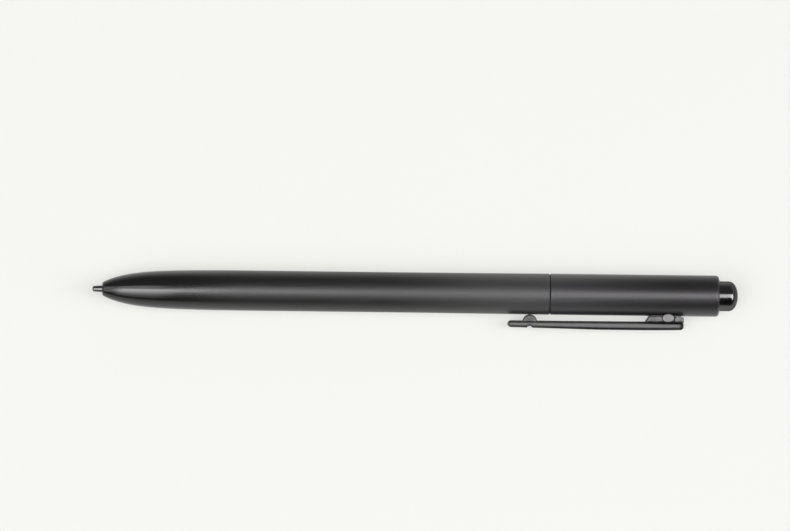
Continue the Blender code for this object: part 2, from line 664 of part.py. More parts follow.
def make_button(rear, button):
    """The tail button with its switch, plunger and return spring."""
    half = SWITCH_SIDE / 2
    switch = block("tail_switch", (-half, -half, SWITCH_Z), (half, half, SWITCH_END))
    keep(switch, rear, (0.05, 0.05, 0.05), 0.5)
    well = rod("plunger_well", PLUNGER_R + RUN_GAP, (0, 0, 1),
               (0, 0, SWITCH_Z + SWITCH_FLOOR), SWITCH_HEIGHT)
    combine(switch, well, 'DIFFERENCE')
    plunger = solid_cylinder("switch_plunger", PLUNGER_R, PLUNGER_Z, PLUNGER_END)
    keep(plunger, button, (0.6, 0.1, 0.08), 0.4)

    boss_end = PLUNGER_END + FACE_GAP
    flange_end = BUTTON_FLANGE_Z + BUTTON_FLANGE
    dome_z = TAIL_Z - BUTTON_DOME
    outer = [(BUTTON_CUP_R, BUTTON_FLANGE_Z), (BUTTON_FLANGE_R, BUTTON_FLANGE_Z),
             (BUTTON_FLANGE_R, flange_end), (BUTTON_R, flange_end)]
    for i in range(ARC_POINTS + 1):
        angle = math.radians(90.0 * i / ARC_POINTS)
        outer.append((BUTTON_R * math.cos(angle), dome_z + BUTTON_DOME * math.sin(angle)))
    outer[-1] = (0.0, TAIL_Z)
    under = [(0.0, boss_end), (BUTTON_BOSS_R, boss_end),
             (BUTTON_BOSS_R, CUP_ROOF_Z), (BUTTON_CUP_R, CUP_ROOF_Z)]
    cap = turned("tail_button", under + outer, steps=BARREL_STEPS)
    keep(cap, button, (0.008, 0.008, 0.009), 0.08)

    spring = coil("button_spring", BUTTON_WIRE_R, BUTTON_TURNS, BUTTON_SPRING_R, BUTTON_SPRING_R,
                  CUP_ROOF_Z - SWITCH_END - 2 * SPRING_GAP)
    spring.location.z = SWITCH_END + SPRING_GAP
    keep(spring, rear, (0.7, 0.7, 0.7), 0.3, 1.0)


def clip_outline():
    """The clip from the side: half-round tip, tapering back, rounded heel."""
    tip_r = CLIP_TIP_THICK / 2
    tip = arc((CLIP_TIP_Z + tip_r, CLIP_IN + tip_r), tip_r, 270, 90, 2 * ARC_POINTS)
    heel = arc((CLIP_HEEL_Z - CLIP_HEEL_R, CLIP_OUT - CLIP_HEEL_R), CLIP_HEEL_R, 90, 0)
    return tip + [(CLIP_TIP_Z + CLIP_TAPER, CLIP_OUT)] + heel + [(CLIP_HEEL_Z, CLIP_IN)]


def cheek_loops():
    """A cheek under the clip's heel, with a lobe round the pin and the pin's hole."""
    foot = BARREL_R + CHEEK_RISE
    root = CLIP_IN + CLIP_EDGE
    front = CLIP_HEEL_Z - CHEEK_LENGTH
    sink = math.degrees(math.asin((PIN_X - foot) / CHEEK_LOBE_R))
    outline = [(front, root), (front + CHEEK_RAKE, foot)]
    outline += arc((PIN_Z, PIN_X), CHEEK_LOBE_R, 180 + sink, 360 - sink)
    outline += [(CLIP_HEEL_Z - CHEEK_HEEL, foot), (CLIP_HEEL_Z, foot + CHEEK_HEEL_RISE), (CLIP_HEEL_Z, root)]
    hole = arc((PIN_Z, PIN_X), PIN_R + RUN_GAP, 0, 360, PIECE_STEPS)[:-1]
    return [outline, hole]


def make_clip(hinge):
    clip = plate("clip", [clip_outline()], 0.0, CLIP_WIDTH)
    keep(clip, hinge, (0.03, 0.03, 0.032), 0.4, 0.4)
    soften = clip.modifiers.new("edges", 'BEVEL')
    soften.width = CLIP_EDGE
    soften.segments = 2
    soften.limit_method = 'ANGLE'
    soften.angle_limit = math.radians(50)
    for side in (-1, 1):
        middle = side * (CHEEK_OUT + CHEEK_IN) / 2
        name = "clip_cheek_left" if side < 0 else "clip_cheek_right"
        combine(clip, plate(name, cheek_loops(), middle, CHEEK_THICK), 'UNION')
    bump_z = CLIP_TIP_Z + BUMP_FROM_TIP
    bump = arc((bump_z, BARREL_R + BUMP_TOUCH + BUMP_R), BUMP_R, 180, 360, 2 * ARC_POINTS)
    combine(clip, plate("clip_bump", [bump], 0.0, BUMP_WIDTH), 'UNION')
    tip_r = CLIP_TIP_THICK / 2
    share = (BUMP_FROM_TIP - tip_r) / (CLIP_TAPER - tip_r)
    back = CLIP_IN + CLIP_TIP_THICK + (CLIP_THICK - CLIP_TIP_THICK) * share
    notch = rod("clip_notch", NOTCH_R, (0, 1, 0),
                (back + NOTCH_R - NOTCH_DEPTH, -CLIP_WIDTH, bump_z), 2 * CLIP_WIDTH)
    combine(clip, notch, 'DIFFERENCE')

    half = CLIP_WIDTH / 2
    end = half + RUN_GAP + PIN_HEAD
    pin = turned("clip_pin", [
        (0.0, -end), (PIN_HEAD_R, -end), (PIN_HEAD_R, -end + PIN_HEAD), (PIN_SHOULDER_R, -end + PIN_HEAD),
        (PIN_SHOULDER_R, -CHEEK_OUT - RUN_GAP), (PIN_R, -CHEEK_OUT - RUN_GAP),
        (PIN_R, CHEEK_OUT + RUN_GAP), (PIN_SHOULDER_R, CHEEK_OUT + RUN_GAP),
        (PIN_SHOULDER_R, end - PIN_HEAD), (PIN_HEAD_R, end - PIN_HEAD), (PIN_HEAD_R, end), (0.0, end)])
    pin.location = (PIN_X, 0, PIN_Z)
    pin.rotation_euler.x = math.radians(-90)
    keep(pin, hinge, (0.6, 0.58, 0.55), 0.3, 1.0)


def make_lug(rear):
    """The lug on the barrel that carries the clip's pin, with its screw and the clip's spring."""
    front = PIN_Z - LUG_FRONT
    heel = PIN_Z + LUG_REAR
    outline = [(front, 0.0), (front, LUG_TOP), (PIN_Z + LUG_FLAT, LUG_TOP),
               (heel, LUG_TOP - LUG_HEEL_DROP), (heel, 0.0)]
    lug = plate("clip_lug", [outline], 0.0, 2 * LUG_HALF)
    keep(lug, rear, (0.03, 0.03, 0.032), 0.4, 0.4)
    saddle_r = BARREL_R + LUG_SEAT
    reach = LUG_FRONT + LUG_REAR
    saddle = rod("lug_saddle", saddle_r, (0, 0, 1), (0, 0, front - reach), 3 * reach, 2 * BARREL_STEPS)
    combine(lug, saddle, 'DIFFERENCE')
    pin_hole = rod("lug_pin_hole", PIN_R + RUN_GAP, (0, 1, 0), (PIN_X, -CLIP_WIDTH, PIN_Z), 2 * CLIP_WIDTH)
    combine(lug, pin_hole, 'DIFFERENCE')
    screw_end = saddle_r + SCREW_GRIP
    screw_hole = rod("lug_screw_hole", SCREW_R + RUN_GAP, (1, 0, 0), (0, 0, SCREW_Z), screw_end + FIT)
    combine(lug, screw_hole, 'DIFFERENCE')
    pocket_r = CLIP_SPRING_R + CLIP_WIRE_R + RUN_GAP
    pocket = rod("lug_spring_pocket", pocket_r, (1, 0, 0), (0, 0, CLIP_SPRING_Z), 2 * BARREL_R)
    combine(lug, pocket, 'DIFFERENCE')

    head_end = math.sqrt(REAR_BORE_R ** 2 - SCREW_HEAD_R ** 2) - FIT
    screw = turned("lug_screw", [
        (0.0, head_end - SCREW_HEAD), (SCREW_HEAD_R, head_end - SCREW_HEAD), (SCREW_HEAD_R, head_end),
        (SCREW_R, head_end), (SCREW_R, screw_end), (0.0, screw_end)])
    screw.location.z = SCREW_Z
    screw.rotation_euler.y = math.radians(90)
    keep(screw, rear, (0.6, 0.6, 0.6), 0.35, 1.0)

    seat = BARREL_R + LUG_SEAT
    spring = coil("clip_spring", CLIP_WIRE_R, CLIP_TURNS, CLIP_SPRING_R, CLIP_SPRING_R,
                  CLIP_IN - SPRING_GAP - seat)
    spring.location = (seat, 0, CLIP_SPRING_Z)
    spring.rotation_euler.y = math.radians(90)
    keep(spring, rear, (0.7, 0.7, 0.7), 0.3, 1.0)


def resting_place():
    """The pen's axis along +X, rolled until the clip's lower edge meets the ground."""
    height = BARREL_R * math.cos(math.pi / BARREL_STEPS)
    edge_out = CLIP_OUT - CLIP_EDGE
    edge_side = CLIP_WIDTH / 2 - CLIP_EDGE
    roll = math.asin((height - CLIP_EDGE) / math.hypot(edge_out, edge_side)) - math.atan2(edge_side, edge_out)
    away = edge_out * math.cos(roll) + edge_side * math.sin(roll) + CLIP_EDGE
    place = Matrix.Translation((-TAIL_Z / 2, (away - BARREL_R) / 2, height))
    turn = Matrix((
        (0.0, 0.0, 1.0),
        (-math.cos(roll), math.sin(roll), 0.0),
        (-math.sin(roll), -math.cos(roll), 0.0),
    ))
    return place @ turn.to_4x4(), roll


clear_scene()
parts = add_collection("stylus_pen")
cutters = add_collection("stylus_pen_cutters")
REST, ROLL = resting_place()
FACET_TURN = math.radians(90) - ROLL - math.pi / BARREL_STEPS

front_section = add_empty("front_section", Vector((0, 0, 0)))
front_section.matrix_world = REST
nib_slide = add_empty("nib_slide", Vector((0, 0, HOLDER_Z)), front_section)
seam_slide = add_empty("seam_slide", Vector((0, 0, FRONT_END)), front_section)
rear_section = add_empty("rear_section", Vector((0, 0, REAR_START)), seam_slide)
button_slide = add_empty("button_slide", Vector((0, 0, REAR_END)), rear_section)
clip_hinge = add_empty("clip_hinge", Vector((PIN_X, 0, PIN_Z)), rear_section)

make_front(front_section)
make_nib(front_section, nib_slide)
make_front_boards(front_section)
make_coupling(seam_slide, rear_section)
make_rear(rear_section)
make_button(rear_section, button_slide)
make_clip(clip_hinge)
make_lug(rear_section)
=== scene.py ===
import json
import math

import bmesh
import bpy
import numpy as np
from mathutils import Matrix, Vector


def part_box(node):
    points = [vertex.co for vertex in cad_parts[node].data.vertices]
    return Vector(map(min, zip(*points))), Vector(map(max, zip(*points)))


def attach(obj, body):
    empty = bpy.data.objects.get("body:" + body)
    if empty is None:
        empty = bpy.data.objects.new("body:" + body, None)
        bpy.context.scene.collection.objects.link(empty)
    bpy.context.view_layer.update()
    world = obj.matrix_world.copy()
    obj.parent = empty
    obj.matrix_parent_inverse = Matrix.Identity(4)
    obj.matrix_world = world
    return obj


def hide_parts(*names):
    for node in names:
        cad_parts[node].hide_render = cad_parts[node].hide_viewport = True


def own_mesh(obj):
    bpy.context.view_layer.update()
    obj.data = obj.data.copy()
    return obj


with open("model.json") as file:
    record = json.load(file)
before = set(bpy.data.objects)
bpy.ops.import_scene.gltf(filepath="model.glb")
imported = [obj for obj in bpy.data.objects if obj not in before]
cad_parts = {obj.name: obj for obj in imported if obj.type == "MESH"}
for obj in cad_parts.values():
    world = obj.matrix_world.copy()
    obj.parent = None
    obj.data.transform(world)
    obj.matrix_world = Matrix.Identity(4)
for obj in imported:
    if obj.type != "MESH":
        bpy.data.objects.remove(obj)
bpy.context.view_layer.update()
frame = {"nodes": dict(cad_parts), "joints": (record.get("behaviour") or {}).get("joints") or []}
print("frame loaded,", len(frame["nodes"]), "nodes")

scene = bpy.context.scene
scene.view_settings.view_transform = 'Standard'

# The pen's own directions, taken from its joints. Stations run from the nib's tip, in millimetres.
mm = 0.001
joints = {joint["name"]: joint for joint in frame["joints"]}
along = np.array(joints["cap_unscrew"]["axis"], float)        # nib to tail
sideways = -np.array(joints["clip_open"]["axis"], float)      # along the clip's pin, away from the camera
outward = np.cross(sideways, along)                           # from the axis to the clip
nibTip = np.array(joints["cap_unscrew"]["pos_m"], float)
nibTip[0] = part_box("nib")[0].x
barrelRadius = nibTip[2] / mm                                 # the barrel lies on the ground

tooClose = 1e-5     # points on a path nearer than this are one, in millimetres
weldReach = 2e-7    # and so are a mesh's points nearer than this, in metres


# Shapes are grids of points, worked out in the pen's own directions


def penPlace(station, reach, offset):
    # point = nib tip + station along the axis + reach towards the clip + offset along the clip's pin
    steps = np.stack(np.broadcast_arrays(station, reach, offset), axis=-1) * mm
    return nibTip + steps @ np.stack([along, outward, sideways])


def cornersOf(look, names):
    # "from inner, to inner" gives the points (look["from"], look["inner"]) and (look["to"], look["inner"])
    return np.array([[look[key] for key in pair.split()] for pair in names.split(", ")], float)


def roundCorners(corners, reach, count=6):
    # each inner corner P becomes the curve (1-t)^2 A + 2t(1-t) P + t^2 B, where A and B lie on its two
    # sides, a reach away or at the middle of the side if that is nearer
    corners = np.asarray(corners, float)
    middle = corners[1:-1]
    reach = np.broadcast_to(reach, len(middle)).reshape(-1, 1)
    before = corners[:-2] - middle
    after = corners[2:] - middle
    lengthBefore = np.linalg.norm(before, axis=1, keepdims=True)
    lengthAfter = np.linalg.norm(after, axis=1, keepdims=True)
    first = middle + before * np.minimum(reach / lengthBefore, 0.5)
    last = middle + after * np.minimum(reach / lengthAfter, 0.5)
    t = np.linspace(0, 1, count)[None, :, None]
    curves = (1 - t) ** 2 * first[:, None] + 2 * t * (1 - t) * middle[:, None] + t ** 2 * last[:, None]
    path = np.concatenate([corners[:1], curves.reshape(-1, 2), corners[-1:]])
    moved = np.linalg.norm(np.diff(path, axis=0), axis=1) > tooClose
    return path[np.concatenate([[True], moved])]


def fillRuns(path, longest):
    # points are added at even distances along the path, and every point that it had stays
    walked = np.concatenate([[0], np.cumsum(np.linalg.norm(np.diff(path, axis=0), axis=1))])
    marks = np.union1d(walked, np.arange(0, walked[-1], longest))
    marks = marks[np.concatenate([[True], np.diff(marks) > tooClose])]
    return np.stack([np.interp(marks, walked, path[:, 0]), np.interp(marks, walked, path[:, 1])], axis=1)


def fullTurn(count):
    # a row of even angles once round, the last of them one step short of the first
    return np.linspace(0, 2 * np.pi, count, endpoint=False)[None]


def quarterTurn(count):
    # even angles from nought to a right angle
    return np.linspace(0, np.pi / 2, count)


def turnedGrid(outline, steps, swell=None):
    # the outline's (station, radius) points go round the pen's axis; swell gives another radius for a
    # station, a radius and an angle, which is measured from the clip's side
    angle = fullTurn(steps)
    station, radius = outline[:, :1], outline[:, 1:]
    if swell is not None:
        radius = swell(station, radius, angle)
    return penPlace(station, radius * np.cos(angle), radius * np.sin(angle))


coilShape = {"stepsPerTurn": 40, "endTurns": 0.75, "endClimb": 0.45, "aroundWire": 14}


def coilGrid(length, firstRadius, lastRadius, wire, turns):
    # a circle of the wire's radius is carried along a helix whose first and last turns lie closer, and
    # shrinks to a point at both ends; the result is in the spring's own x, y and height
    share = np.linspace(0, 1, turns * coilShape["stepsPerTurn"] + 1)
    endTurn = coilShape["endTurns"] / turns
    endClimb = coilShape["endClimb"] * endTurn
    climb = np.interp(share, [0, endTurn, 1 - endTurn, 1], [0, endClimb, 1 - endClimb, 1])
    share, climb = (np.pad(values, 1, mode="edge")[:, None] for values in (share, climb))
    thick = np.full_like(share, wire)
    thick[[0, -1]] = 0
    angle = 2 * np.pi * turns * share
    around = fullTurn(coilShape["aroundWire"])
    radius = firstRadius + (lastRadius - firstRadius) * share + thick * np.cos(around)
    height = wire + (length - 2 * wire) * climb + thick * np.sin(around)
    return radius * np.cos(angle), radius * np.sin(angle), height


def makePiece(name, shells, body, nodes, material, sharp=35):
    # each shell is a grid of points whose columns go round, whether its rows do so too, and each point's
    # wear; every cell becomes a face, and points that meet are merged so that seams and poles close
    points, wear, faces = [], [], []
    start = 0
    for grid, closeRows, gridWear in shells:
        index = start + np.arange(grid.shape[0] * grid.shape[1]).reshape(grid.shape[:2])
        if closeRows:
            index = np.concatenate([index, index[:1]], axis=0)
        index = np.concatenate([index, index[:, :1]], axis=1)
        cells = np.stack([index[:-1, :-1], index[1:, :-1], index[1:, 1:], index[:-1, 1:]], axis=-1)
        points.append(grid.reshape(-1, 3))
        wear.append(np.broadcast_to(gridWear, grid.shape[:2]).reshape(-1))
        faces.append(cells.reshape(-1, 4))
        start += grid.shape[0] * grid.shape[1]
    mesh = bpy.data.meshes.new(name)
    mesh.from_pydata(np.concatenate(points).tolist(), [], np.concatenate(faces).tolist())
    layer = mesh.attributes.new("edgeWear", 'FLOAT', 'POINT')
    layer.data.foreach_set("value", np.concatenate(wear).astype(np.float32))
    shape = bmesh.new()
    shape.from_mesh(mesh)
    bmesh.ops.remove_doubles(shape, verts=shape.verts, dist=weldReach)
    bmesh.ops.recalc_face_normals(shape, faces=shape.faces)
    shape.to_mesh(mesh)
    shape.free()
    mesh.shade_smooth()
    mesh.set_sharp_from_angle(angle=math.radians(sharp))
    mesh.materials.append(material)
    piece = bpy.data.objects.new(name, mesh)
    scene.collection.objects.link(piece)
    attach(piece, body)
    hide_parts(*nodes)
    print("made", name, "with", len(mesh.polygons), "faces")
    return piece


# Finishes are built from the piece's own coordinates


def addNode(tree, kind, values=None, **settings):
    item = tree.nodes.new(kind)
    for key, value in settings.items():
        setattr(item, key, value)
    for key, value in (values or {}).items():
        if isinstance(value, bpy.types.NodeSocket):
            tree.links.new(value, item.inputs[key])
        else:
            item.inputs[key].default_value = value
    return item


def newMaterial(name, look):
    # constants go straight on the shader's sockets
    material = bpy.data.materials.new(name)
    material.use_nodes = True
    tree = material.node_tree
    shader = tree.nodes["Principled BSDF"]
    constants = {"Metallic": look.get("metal", 0.0), "Specular IOR Level": look.get("specular", 0.5),
                 "Specular Tint": (*look.get("specularTint", (1, 1, 1)), 1),
                 "Coat Weight": look.get("coat", 0.0), "Coat Roughness": look.get("coatRough", 0.03)}
    for socketName, value in constants.items():
        shader.inputs[socketName].default_value = value
    material.diffuse_color = (*look["colour"], 1)
    return material, tree, shader


def millimetres(tree, stretch=1.0, centre=(0, 0, 0), turn=(0, 0, 0)):
    # the piece's own coordinates in millimetres, drawn out along the pen by the stretch
    coords = addNode(tree, "ShaderNodeTexCoord").outputs["Object"]
    shift = addNode(tree, "ShaderNodeMapping", {"Vector": coords, "Location": [-c for c in centre]})
    scale = (1 / (mm * stretch), 1 / mm, 1 / mm)
    return addNode(tree, "ShaderNodeMapping", {"Vector": shift.outputs[0], "Rotation": turn,
                                               "Scale": scale}).outputs[0]


def noise(tree, vector, size, detail=3.0):
    values = {"Vector": vector, "Scale": 1 / size, "Detail": detail, "Roughness": 0.55}
    return addNode(tree, "ShaderNodeTexNoise", values).outputs[0]


def mapped(tree, value, low, high, fromLow=0.3, fromHigh=0.7, ease='LINEAR'):
    # the range that it maps from is by default the one in which most of a noise lies
    values = {"Value": value, "From Min": fromLow, "From Max": fromHigh, "To Min": low, "To Max": high}
    return addNode(tree, "ShaderNodeMapRange", values, clamp=True, interpolation_type=ease).outputs[0]


def mixed(tree, share, first, second):
    first, second = (colour if isinstance(colour, bpy.types.NodeSocket) else (*colour, 1)
                     for colour in (first, second))
    values = {0: share, 6: first, 7: second}
    return addNode(tree, "ShaderNodeMix", values, data_type='RGBA').outputs[2]


def varied(tree, share, colour, spread):
    # from darker than the colour by the spread to paler by as much
    base = np.array(colour)
    return mixed(tree, share, tuple(base * (1 - spread)), tuple(base * (1 + spread)))


def worked(tree, operation, *values):
    return addNode(tree, "ShaderNodeMath", dict(enumerate(values)), operation=operation).outputs[0]


def multiplied(tree, first, second):
    return worked(tree, 'MULTIPLY', first, second)


def bumped(tree, height, depth, **under):
    # the depth is in millimetres, and a normal given as well lies under the bump
    values = {"Height": height, "Distance": depth * mm, "Strength": 1.0, **under}
    return addNode(tree, "ShaderNodeBump", values).outputs[0]


def parted(tree, vector):
    return addNode(tree, "ShaderNodeSeparateXYZ", {0: vector}).outputs


def feed(tree, shader, sources):
    for socketName, source in sources.items():
        tree.links.new(source, shader.inputs[socketName])


def stationAway(tree, station):
    # distance along the pen from a station, in millimetres, whichever way
    vector = millimetres(tree, 1.0, (nibTip[0] + station * mm, 0, 0))
    return worked(tree, 'ABSOLUTE', parted(tree, vector)[0])


def fromAxis(tree, direction):
    # distance from the pen's axis in a direction, in millimetres
    vector = millimetres(tree, 1.0, tuple(nibTip))
    product = addNode(tree, "ShaderNodeVectorMath", {0: vector, 1: tuple(direction)}, operation='DOT_PRODUCT')
    return product.outputs["Value"]


def paintedShadeShare(tree, look):
    # 1 along the strip's outer edge, over its heel, and in the line where it meets the cheeks, the places
    # that get painted shade; each of them only near the clip's two sides, so that its broad face stays as it
    # is
    reach = fromAxis(tree, outward)
    fromHeel = stationAway(tree, look["heelAt"])
    pastRoot = mapped(tree, reach, 0, 1, *look["rootFrom"])
    heel = multiplied(tree, mapped(tree, fromHeel, 1, 0, *look["heelFade"]), pastRoot)
    rootLine = multiplied(tree, pastRoot, mapped(tree, reach, 1, 0, *look["rootTo"]))
    rootLine = multiplied(tree, rootLine, mapped(tree, fromHeel, 1, 0, *look["rootFade"]))
    edge = mapped(tree, reach, 0, 1, *look["outerFade"])
    paintedShade = worked(tree, 'MAXIMUM', worked(tree, 'MAXIMUM', edge, heel), rootLine)
    across = worked(tree, 'ABSOLUTE', fromAxis(tree, sideways))
    return multiplied(tree, paintedShade, mapped(tree, across, 0, 1, *look["sideFade"]))


drawnLines = {"stretch": 60.0, "size": 0.3}
chipRange = (0.42, 0.62)


def finish(name, look):
    # colour: base with soft patches drawn out along the pen, paler where edges are worn, with painted light
    # as a pale band round the barrel's middle that is paler still on its side away from the clip, and painted
    # shade along the clip's edges; roughness: base with the same patches, more matt where hands rub it,
    # smoother at the nose; bump: fine grain over drawn lines
    material, tree, shader = newMaterial(name, look)
    patches = noise(tree, millimetres(tree, look.get("stretch", 1.0)), look["patch"], detail=4.0)
    plain = millimetres(tree)
    colour = varied(tree, mapped(tree, patches, 0, 1), look["colour"], look.get("spread", 0.15))
    rough, roughSpread = look["rough"], look.get("roughSpread", 0.05)
    roughness = mapped(tree, patches, rough - roughSpread, rough + roughSpread)
    # painted light: a paler band round the barrel's middle, in patches
    if "paintedLightColour" in look:
        paintedLightBand = mapped(tree, stationAway(tree, look["paintedLightAt"]), 1, 0, 0, look["paintedLightReach"], 'SMOOTHSTEP')
        paintedLightShare = multiplied(tree, paintedLightBand, mapped(tree, patches, *look["paintedLightPatches"]))
        colour = mixed(tree, paintedLightShare, colour, look["paintedLightColour"])
        # painted light: within that band the side away from the clip is paler still
        paintedFarLightShare = mapped(tree, fromAxis(tree, outward), 1, 0, *look["paintedFarLightFade"])
        colour = mixed(tree, multiplied(tree, paintedLightShare, paintedFarLightShare), colour, look["paintedFarLightColour"])
        mattAway = stationAway(tree, look["mattAt"])
        matt = mapped(tree, mattAway, look["mattGain"], 1, 0, look["mattReach"], 'SMOOTHSTEP')
        roughness = multiplied(tree, roughness, matt)
    if "noseRough" in look:
        smoother = mapped(tree, stationAway(tree, 0.0), look["noseRough"] / rough, 1, *look["noseFade"])
        roughness = multiplied(tree, roughness, smoother)
    if "wearColour" in look:
        attribute = addNode(tree, "ShaderNodeAttribute", attribute_name="edgeWear").outputs["Fac"]
        chips = mapped(tree, noise(tree, plain, look["wearPatch"], detail=5.0), 0, 1, *chipRange)
        colour = mixed(tree, multiplied(tree, attribute, chips), colour, look["wearColour"])
    # painted shade: the clip's outer edge, heel and root line turn near black and shine less
    if "paintedShadeColour" in look:
        paintedShade = paintedShadeShare(tree, look)
        colour = mixed(tree, paintedShade, colour, look["paintedShadeColour"])
        specular = mapped(tree, paintedShade, look["specular"], look["paintedShadeSpecular"], 0, 1)
        feed(tree, shader, {"Specular IOR Level": specular})
    under = {}
    if "lineDepth" in look:
        lines = noise(tree, millimetres(tree, drawnLines["stretch"]), drawnLines["size"], detail=2.0)
        under["Normal"] = bumped(tree, lines, look["lineDepth"])
    bump = bumped(tree, noise(tree, plain, look["grain"], detail=2.0), look["grainDepth"], **under)
    feed(tree, shader, {"Base Color": colour, "Roughness": roughness, "Normal": bump})
    return material


latheMarks = {"warp": 0.6, "detail": 2.0, "dark": 0.8, "pale": 1.15, "roughSpread": 0.06}


def turnedFinish(name, look, centre, turn, ringAxis):
    # rings cut by a lathe: a sine of the distance from the turning axis, over soft patches
    material, tree, shader = newMaterial(name, look)
    values = {"Vector": millimetres(tree, 1.0, centre, (turn, 0, 0)), "Scale": look["rings"],
              "Distortion": latheMarks["warp"], "Detail": latheMarks["detail"]}
    rings = addNode(tree, "ShaderNodeTexWave", values, wave_type='RINGS', rings_direction=ringAxis).outputs[1]
    patches = noise(tree, millimetres(tree), look["patch"], detail=4.0)
    dark, pale = (tuple(np.array(look["colour"]) * latheMarks[key]) for key in ("dark", "pale"))
    rough, spread = look["rough"], latheMarks["roughSpread"]
    feed(tree, shader, {"Base Color": mixed(tree, mapped(tree, patches, 0, 1), dark, pale),
                        "Roughness": mapped(tree, patches, rough - spread, rough + spread),
                        "Normal": bumped(tree, rings, look["ringDepth"])})
    return material


# the barrel's painted light is a pale band round its middle and a paler side away from the clip
barrelSatin = {
    "spread": 0.18, "patch": 0.5, "stretch": 18.0, "specular": 0.75, "roughSpread": 0.03, "grain": 0.07,
    "grainDepth": 0.0010, "lineDepth": 0.003, "wearColour": (0.04, 0.04, 0.041), "wearPatch": 0.4,
    "paintedLightAt": 101.0, "paintedLightReach": 36.0, "paintedLightPatches": (0.85, 1.0), "mattAt": 92.0, "mattReach": 56.0,
    "mattGain": 1.24, "paintedFarLightFade": (-4.5, -2.0), "paintedFarLightColour": (0.066, 0.066, 0.066),
}
# each barrel has its own colour of painted light round the middle
satinFront = finish("satinFront", {
    **barrelSatin, "colour": (0.0038, 0.0038, 0.0037), "rough": 0.385, "paintedLightColour": (0.0275, 0.0275, 0.028),
    "noseRough": 0.165, "noseFade": (17.0, 34.0)})
satinRear = finish("satinRear", {
    **barrelSatin, "colour": (0.0078, 0.0073, 0.0078), "rough": 0.35, "paintedLightColour": (0.023, 0.0225, 0.0245),
    "specularTint": (1.0, 0.97, 1.0)})
# the clip's painted shade darkens its outer edge, heel and root line to near black
clipBlack = finish("clipBlack", {
    "colour": (0.017, 0.017, 0.0175), "spread": 0.2, "patch": 0.4, "stretch": 10.0,
    "rough": 0.40, "roughSpread": 0.04, "grain": 0.06, "grainDepth": 0.0012, "specular": 0.9,
    "wearColour": (0.085, 0.084, 0.083), "wearPatch": 1.1,
    "heelAt": 136.22, "heelFade": (0.75, 1.1), "rootFrom": (6.0, 6.2), "rootTo": (6.45, 6.7),
    "rootFade": (8.0, 12.0), "outerFade": (7.25, 7.75), "sideFade": (1.3, 1.6),
    "paintedShadeColour": (0.004, 0.004, 0.004), "paintedShadeSpecular": 0.2})
buttonGloss = finish("buttonGloss", {
    "colour": (0.118, 0.118, 0.120), "patch": 1.2, "spread": 0.08, "metal": 1.0,
    "specularTint": (0.45, 0.45, 0.45), "rough": 0.15, "roughSpread": 0.03, "grain": 0.4,
    "grainDepth": 0.0004})
nibPlastic = finish("nibPlastic", {
    "colour": (0.012, 0.012, 0.013), "patch": 0.5, "spread": 0.2,
    "rough": 0.12, "roughSpread": 0.03, "grain": 0.08, "grainDepth": 0.0002, "coat": 1.0, "coatRough": 0.07,
    "specular": 1.0, "wearColour": (0.03, 0.03, 0.03), "wearPatch": 0.15})
seamRubber = finish("seamRubber", {
    "colour": (0.010, 0.010, 0.010), "patch": 0.4, "rough": 0.75, "grain": 0.05, "grainDepth": 0.003,
    "specular": 0.2})
bezelMetal = finish("bezelMetal", {
    "colour": (0.13, 0.13, 0.135), "patch": 0.3, "rough": 0.30, "grain": 0.05, "grainDepth": 0.0015,
    "metal": 1.0})
springWire = finish("springWire", {
    "colour": (0.55, 0.55, 0.54), "patch": 0.3, "rough": 0.28, "grain": 0.05, "grainDepth": 0.001,
    "metal": 1.0})
framePlastic = finish("framePlastic", {
    "colour": (0.055, 0.055, 0.058), "patch": 1.0, "rough": 0.55, "grain": 0.08, "grainDepth": 0.004})
whitePlastic = finish("whitePlastic", {
    "colour": (0.74, 0.72, 0.67), "spread": 0.04, "patch": 1.0, "rough": 0.45, "grain": 0.1,
    "grainDepth": 0.003})
chipPlastic = finish("chipPlastic", {
    "colour": (0.02, 0.02, 0.021), "patch": 0.4, "rough": 0.6, "grain": 0.05, "grainDepth": 0.004})
brassPlate = finish("brassPlate", {
    "colour": (0.78, 0.62, 0.30), "spread": 0.08, "patch": 0.6, "rough": 0.28, "grain": 0.06,
    "grainDepth": 0.001, "metal": 1.0})
shieldTin = finish("shieldTin", {
    "colour": (0.62, 0.62, 0.61), "spread": 0.08, "patch": 0.7, "rough": 0.38, "grain": 0.08,
    "grainDepth": 0.002, "metal": 1.0})
plungerRed = finish("plungerRed", {
    "colour": (0.50, 0.07, 0.05), "patch": 0.5, "rough": 0.45, "grain": 0.06, "grainDepth": 0.002})
couplingMetal = turnedFinish("couplingMetal", {
    "colour": (0.50, 0.50, 0.50), "patch": 0.5, "rough": 0.30, "rings": 6.0, "ringDepth": 0.0012,
    "metal": 1.0}, tuple(nibTip), 0.0, 'X')

print("finishes ready")


# Barrel, seam, nib, bezel, button and thread plug

frontBarrel = {
    "noseFace": 2.36, "noseFaceRadius": 1.45, "noseRadius": 1.7, "chamfer": 0.3,
    "curve": 6.0, "taper": 27.0, "end": 105.30, "edge": 0.13,
    "noseRings": 60, "crowding": 1.6, "lipRings": 6, "lipRounds": (0.12, 0.14),
    "noseWear": 0.3, "wornTo": 3.0, "wornFrom": 1.2,
    "holes": ((0.90, 5.65), (1.99, 10.45), (2.91, 16.35), (3.57, 23.7), (4.25, 105.30)),
}
barrelSwell = {"frontShare": 0.978, "from": 70.0, "to": 118.0}    # the barrel thickens towards the tail
barrelRim = {"round": 0.04, "wear": 0.15, "wornReach": 0.2, "wornFrom": 4.5}
screwThread = {
    "pitch": 1.0, "first": 101.1, "turns": 3, "runOut": 0.2, "crest": 4.38, "crestHalf": 0.05,
    "slope": 0.48 / 0.35, "gap": 0.09, "gapShare": 1.24, "spareTurns": 2,
    "boreFrom": 99.6, "boreTo": 105.05, "boreStep": 0.05, "boreSlack": 0.05,
}
ringStep = 1.5      # longest run between two rings of a tube, in millimetres
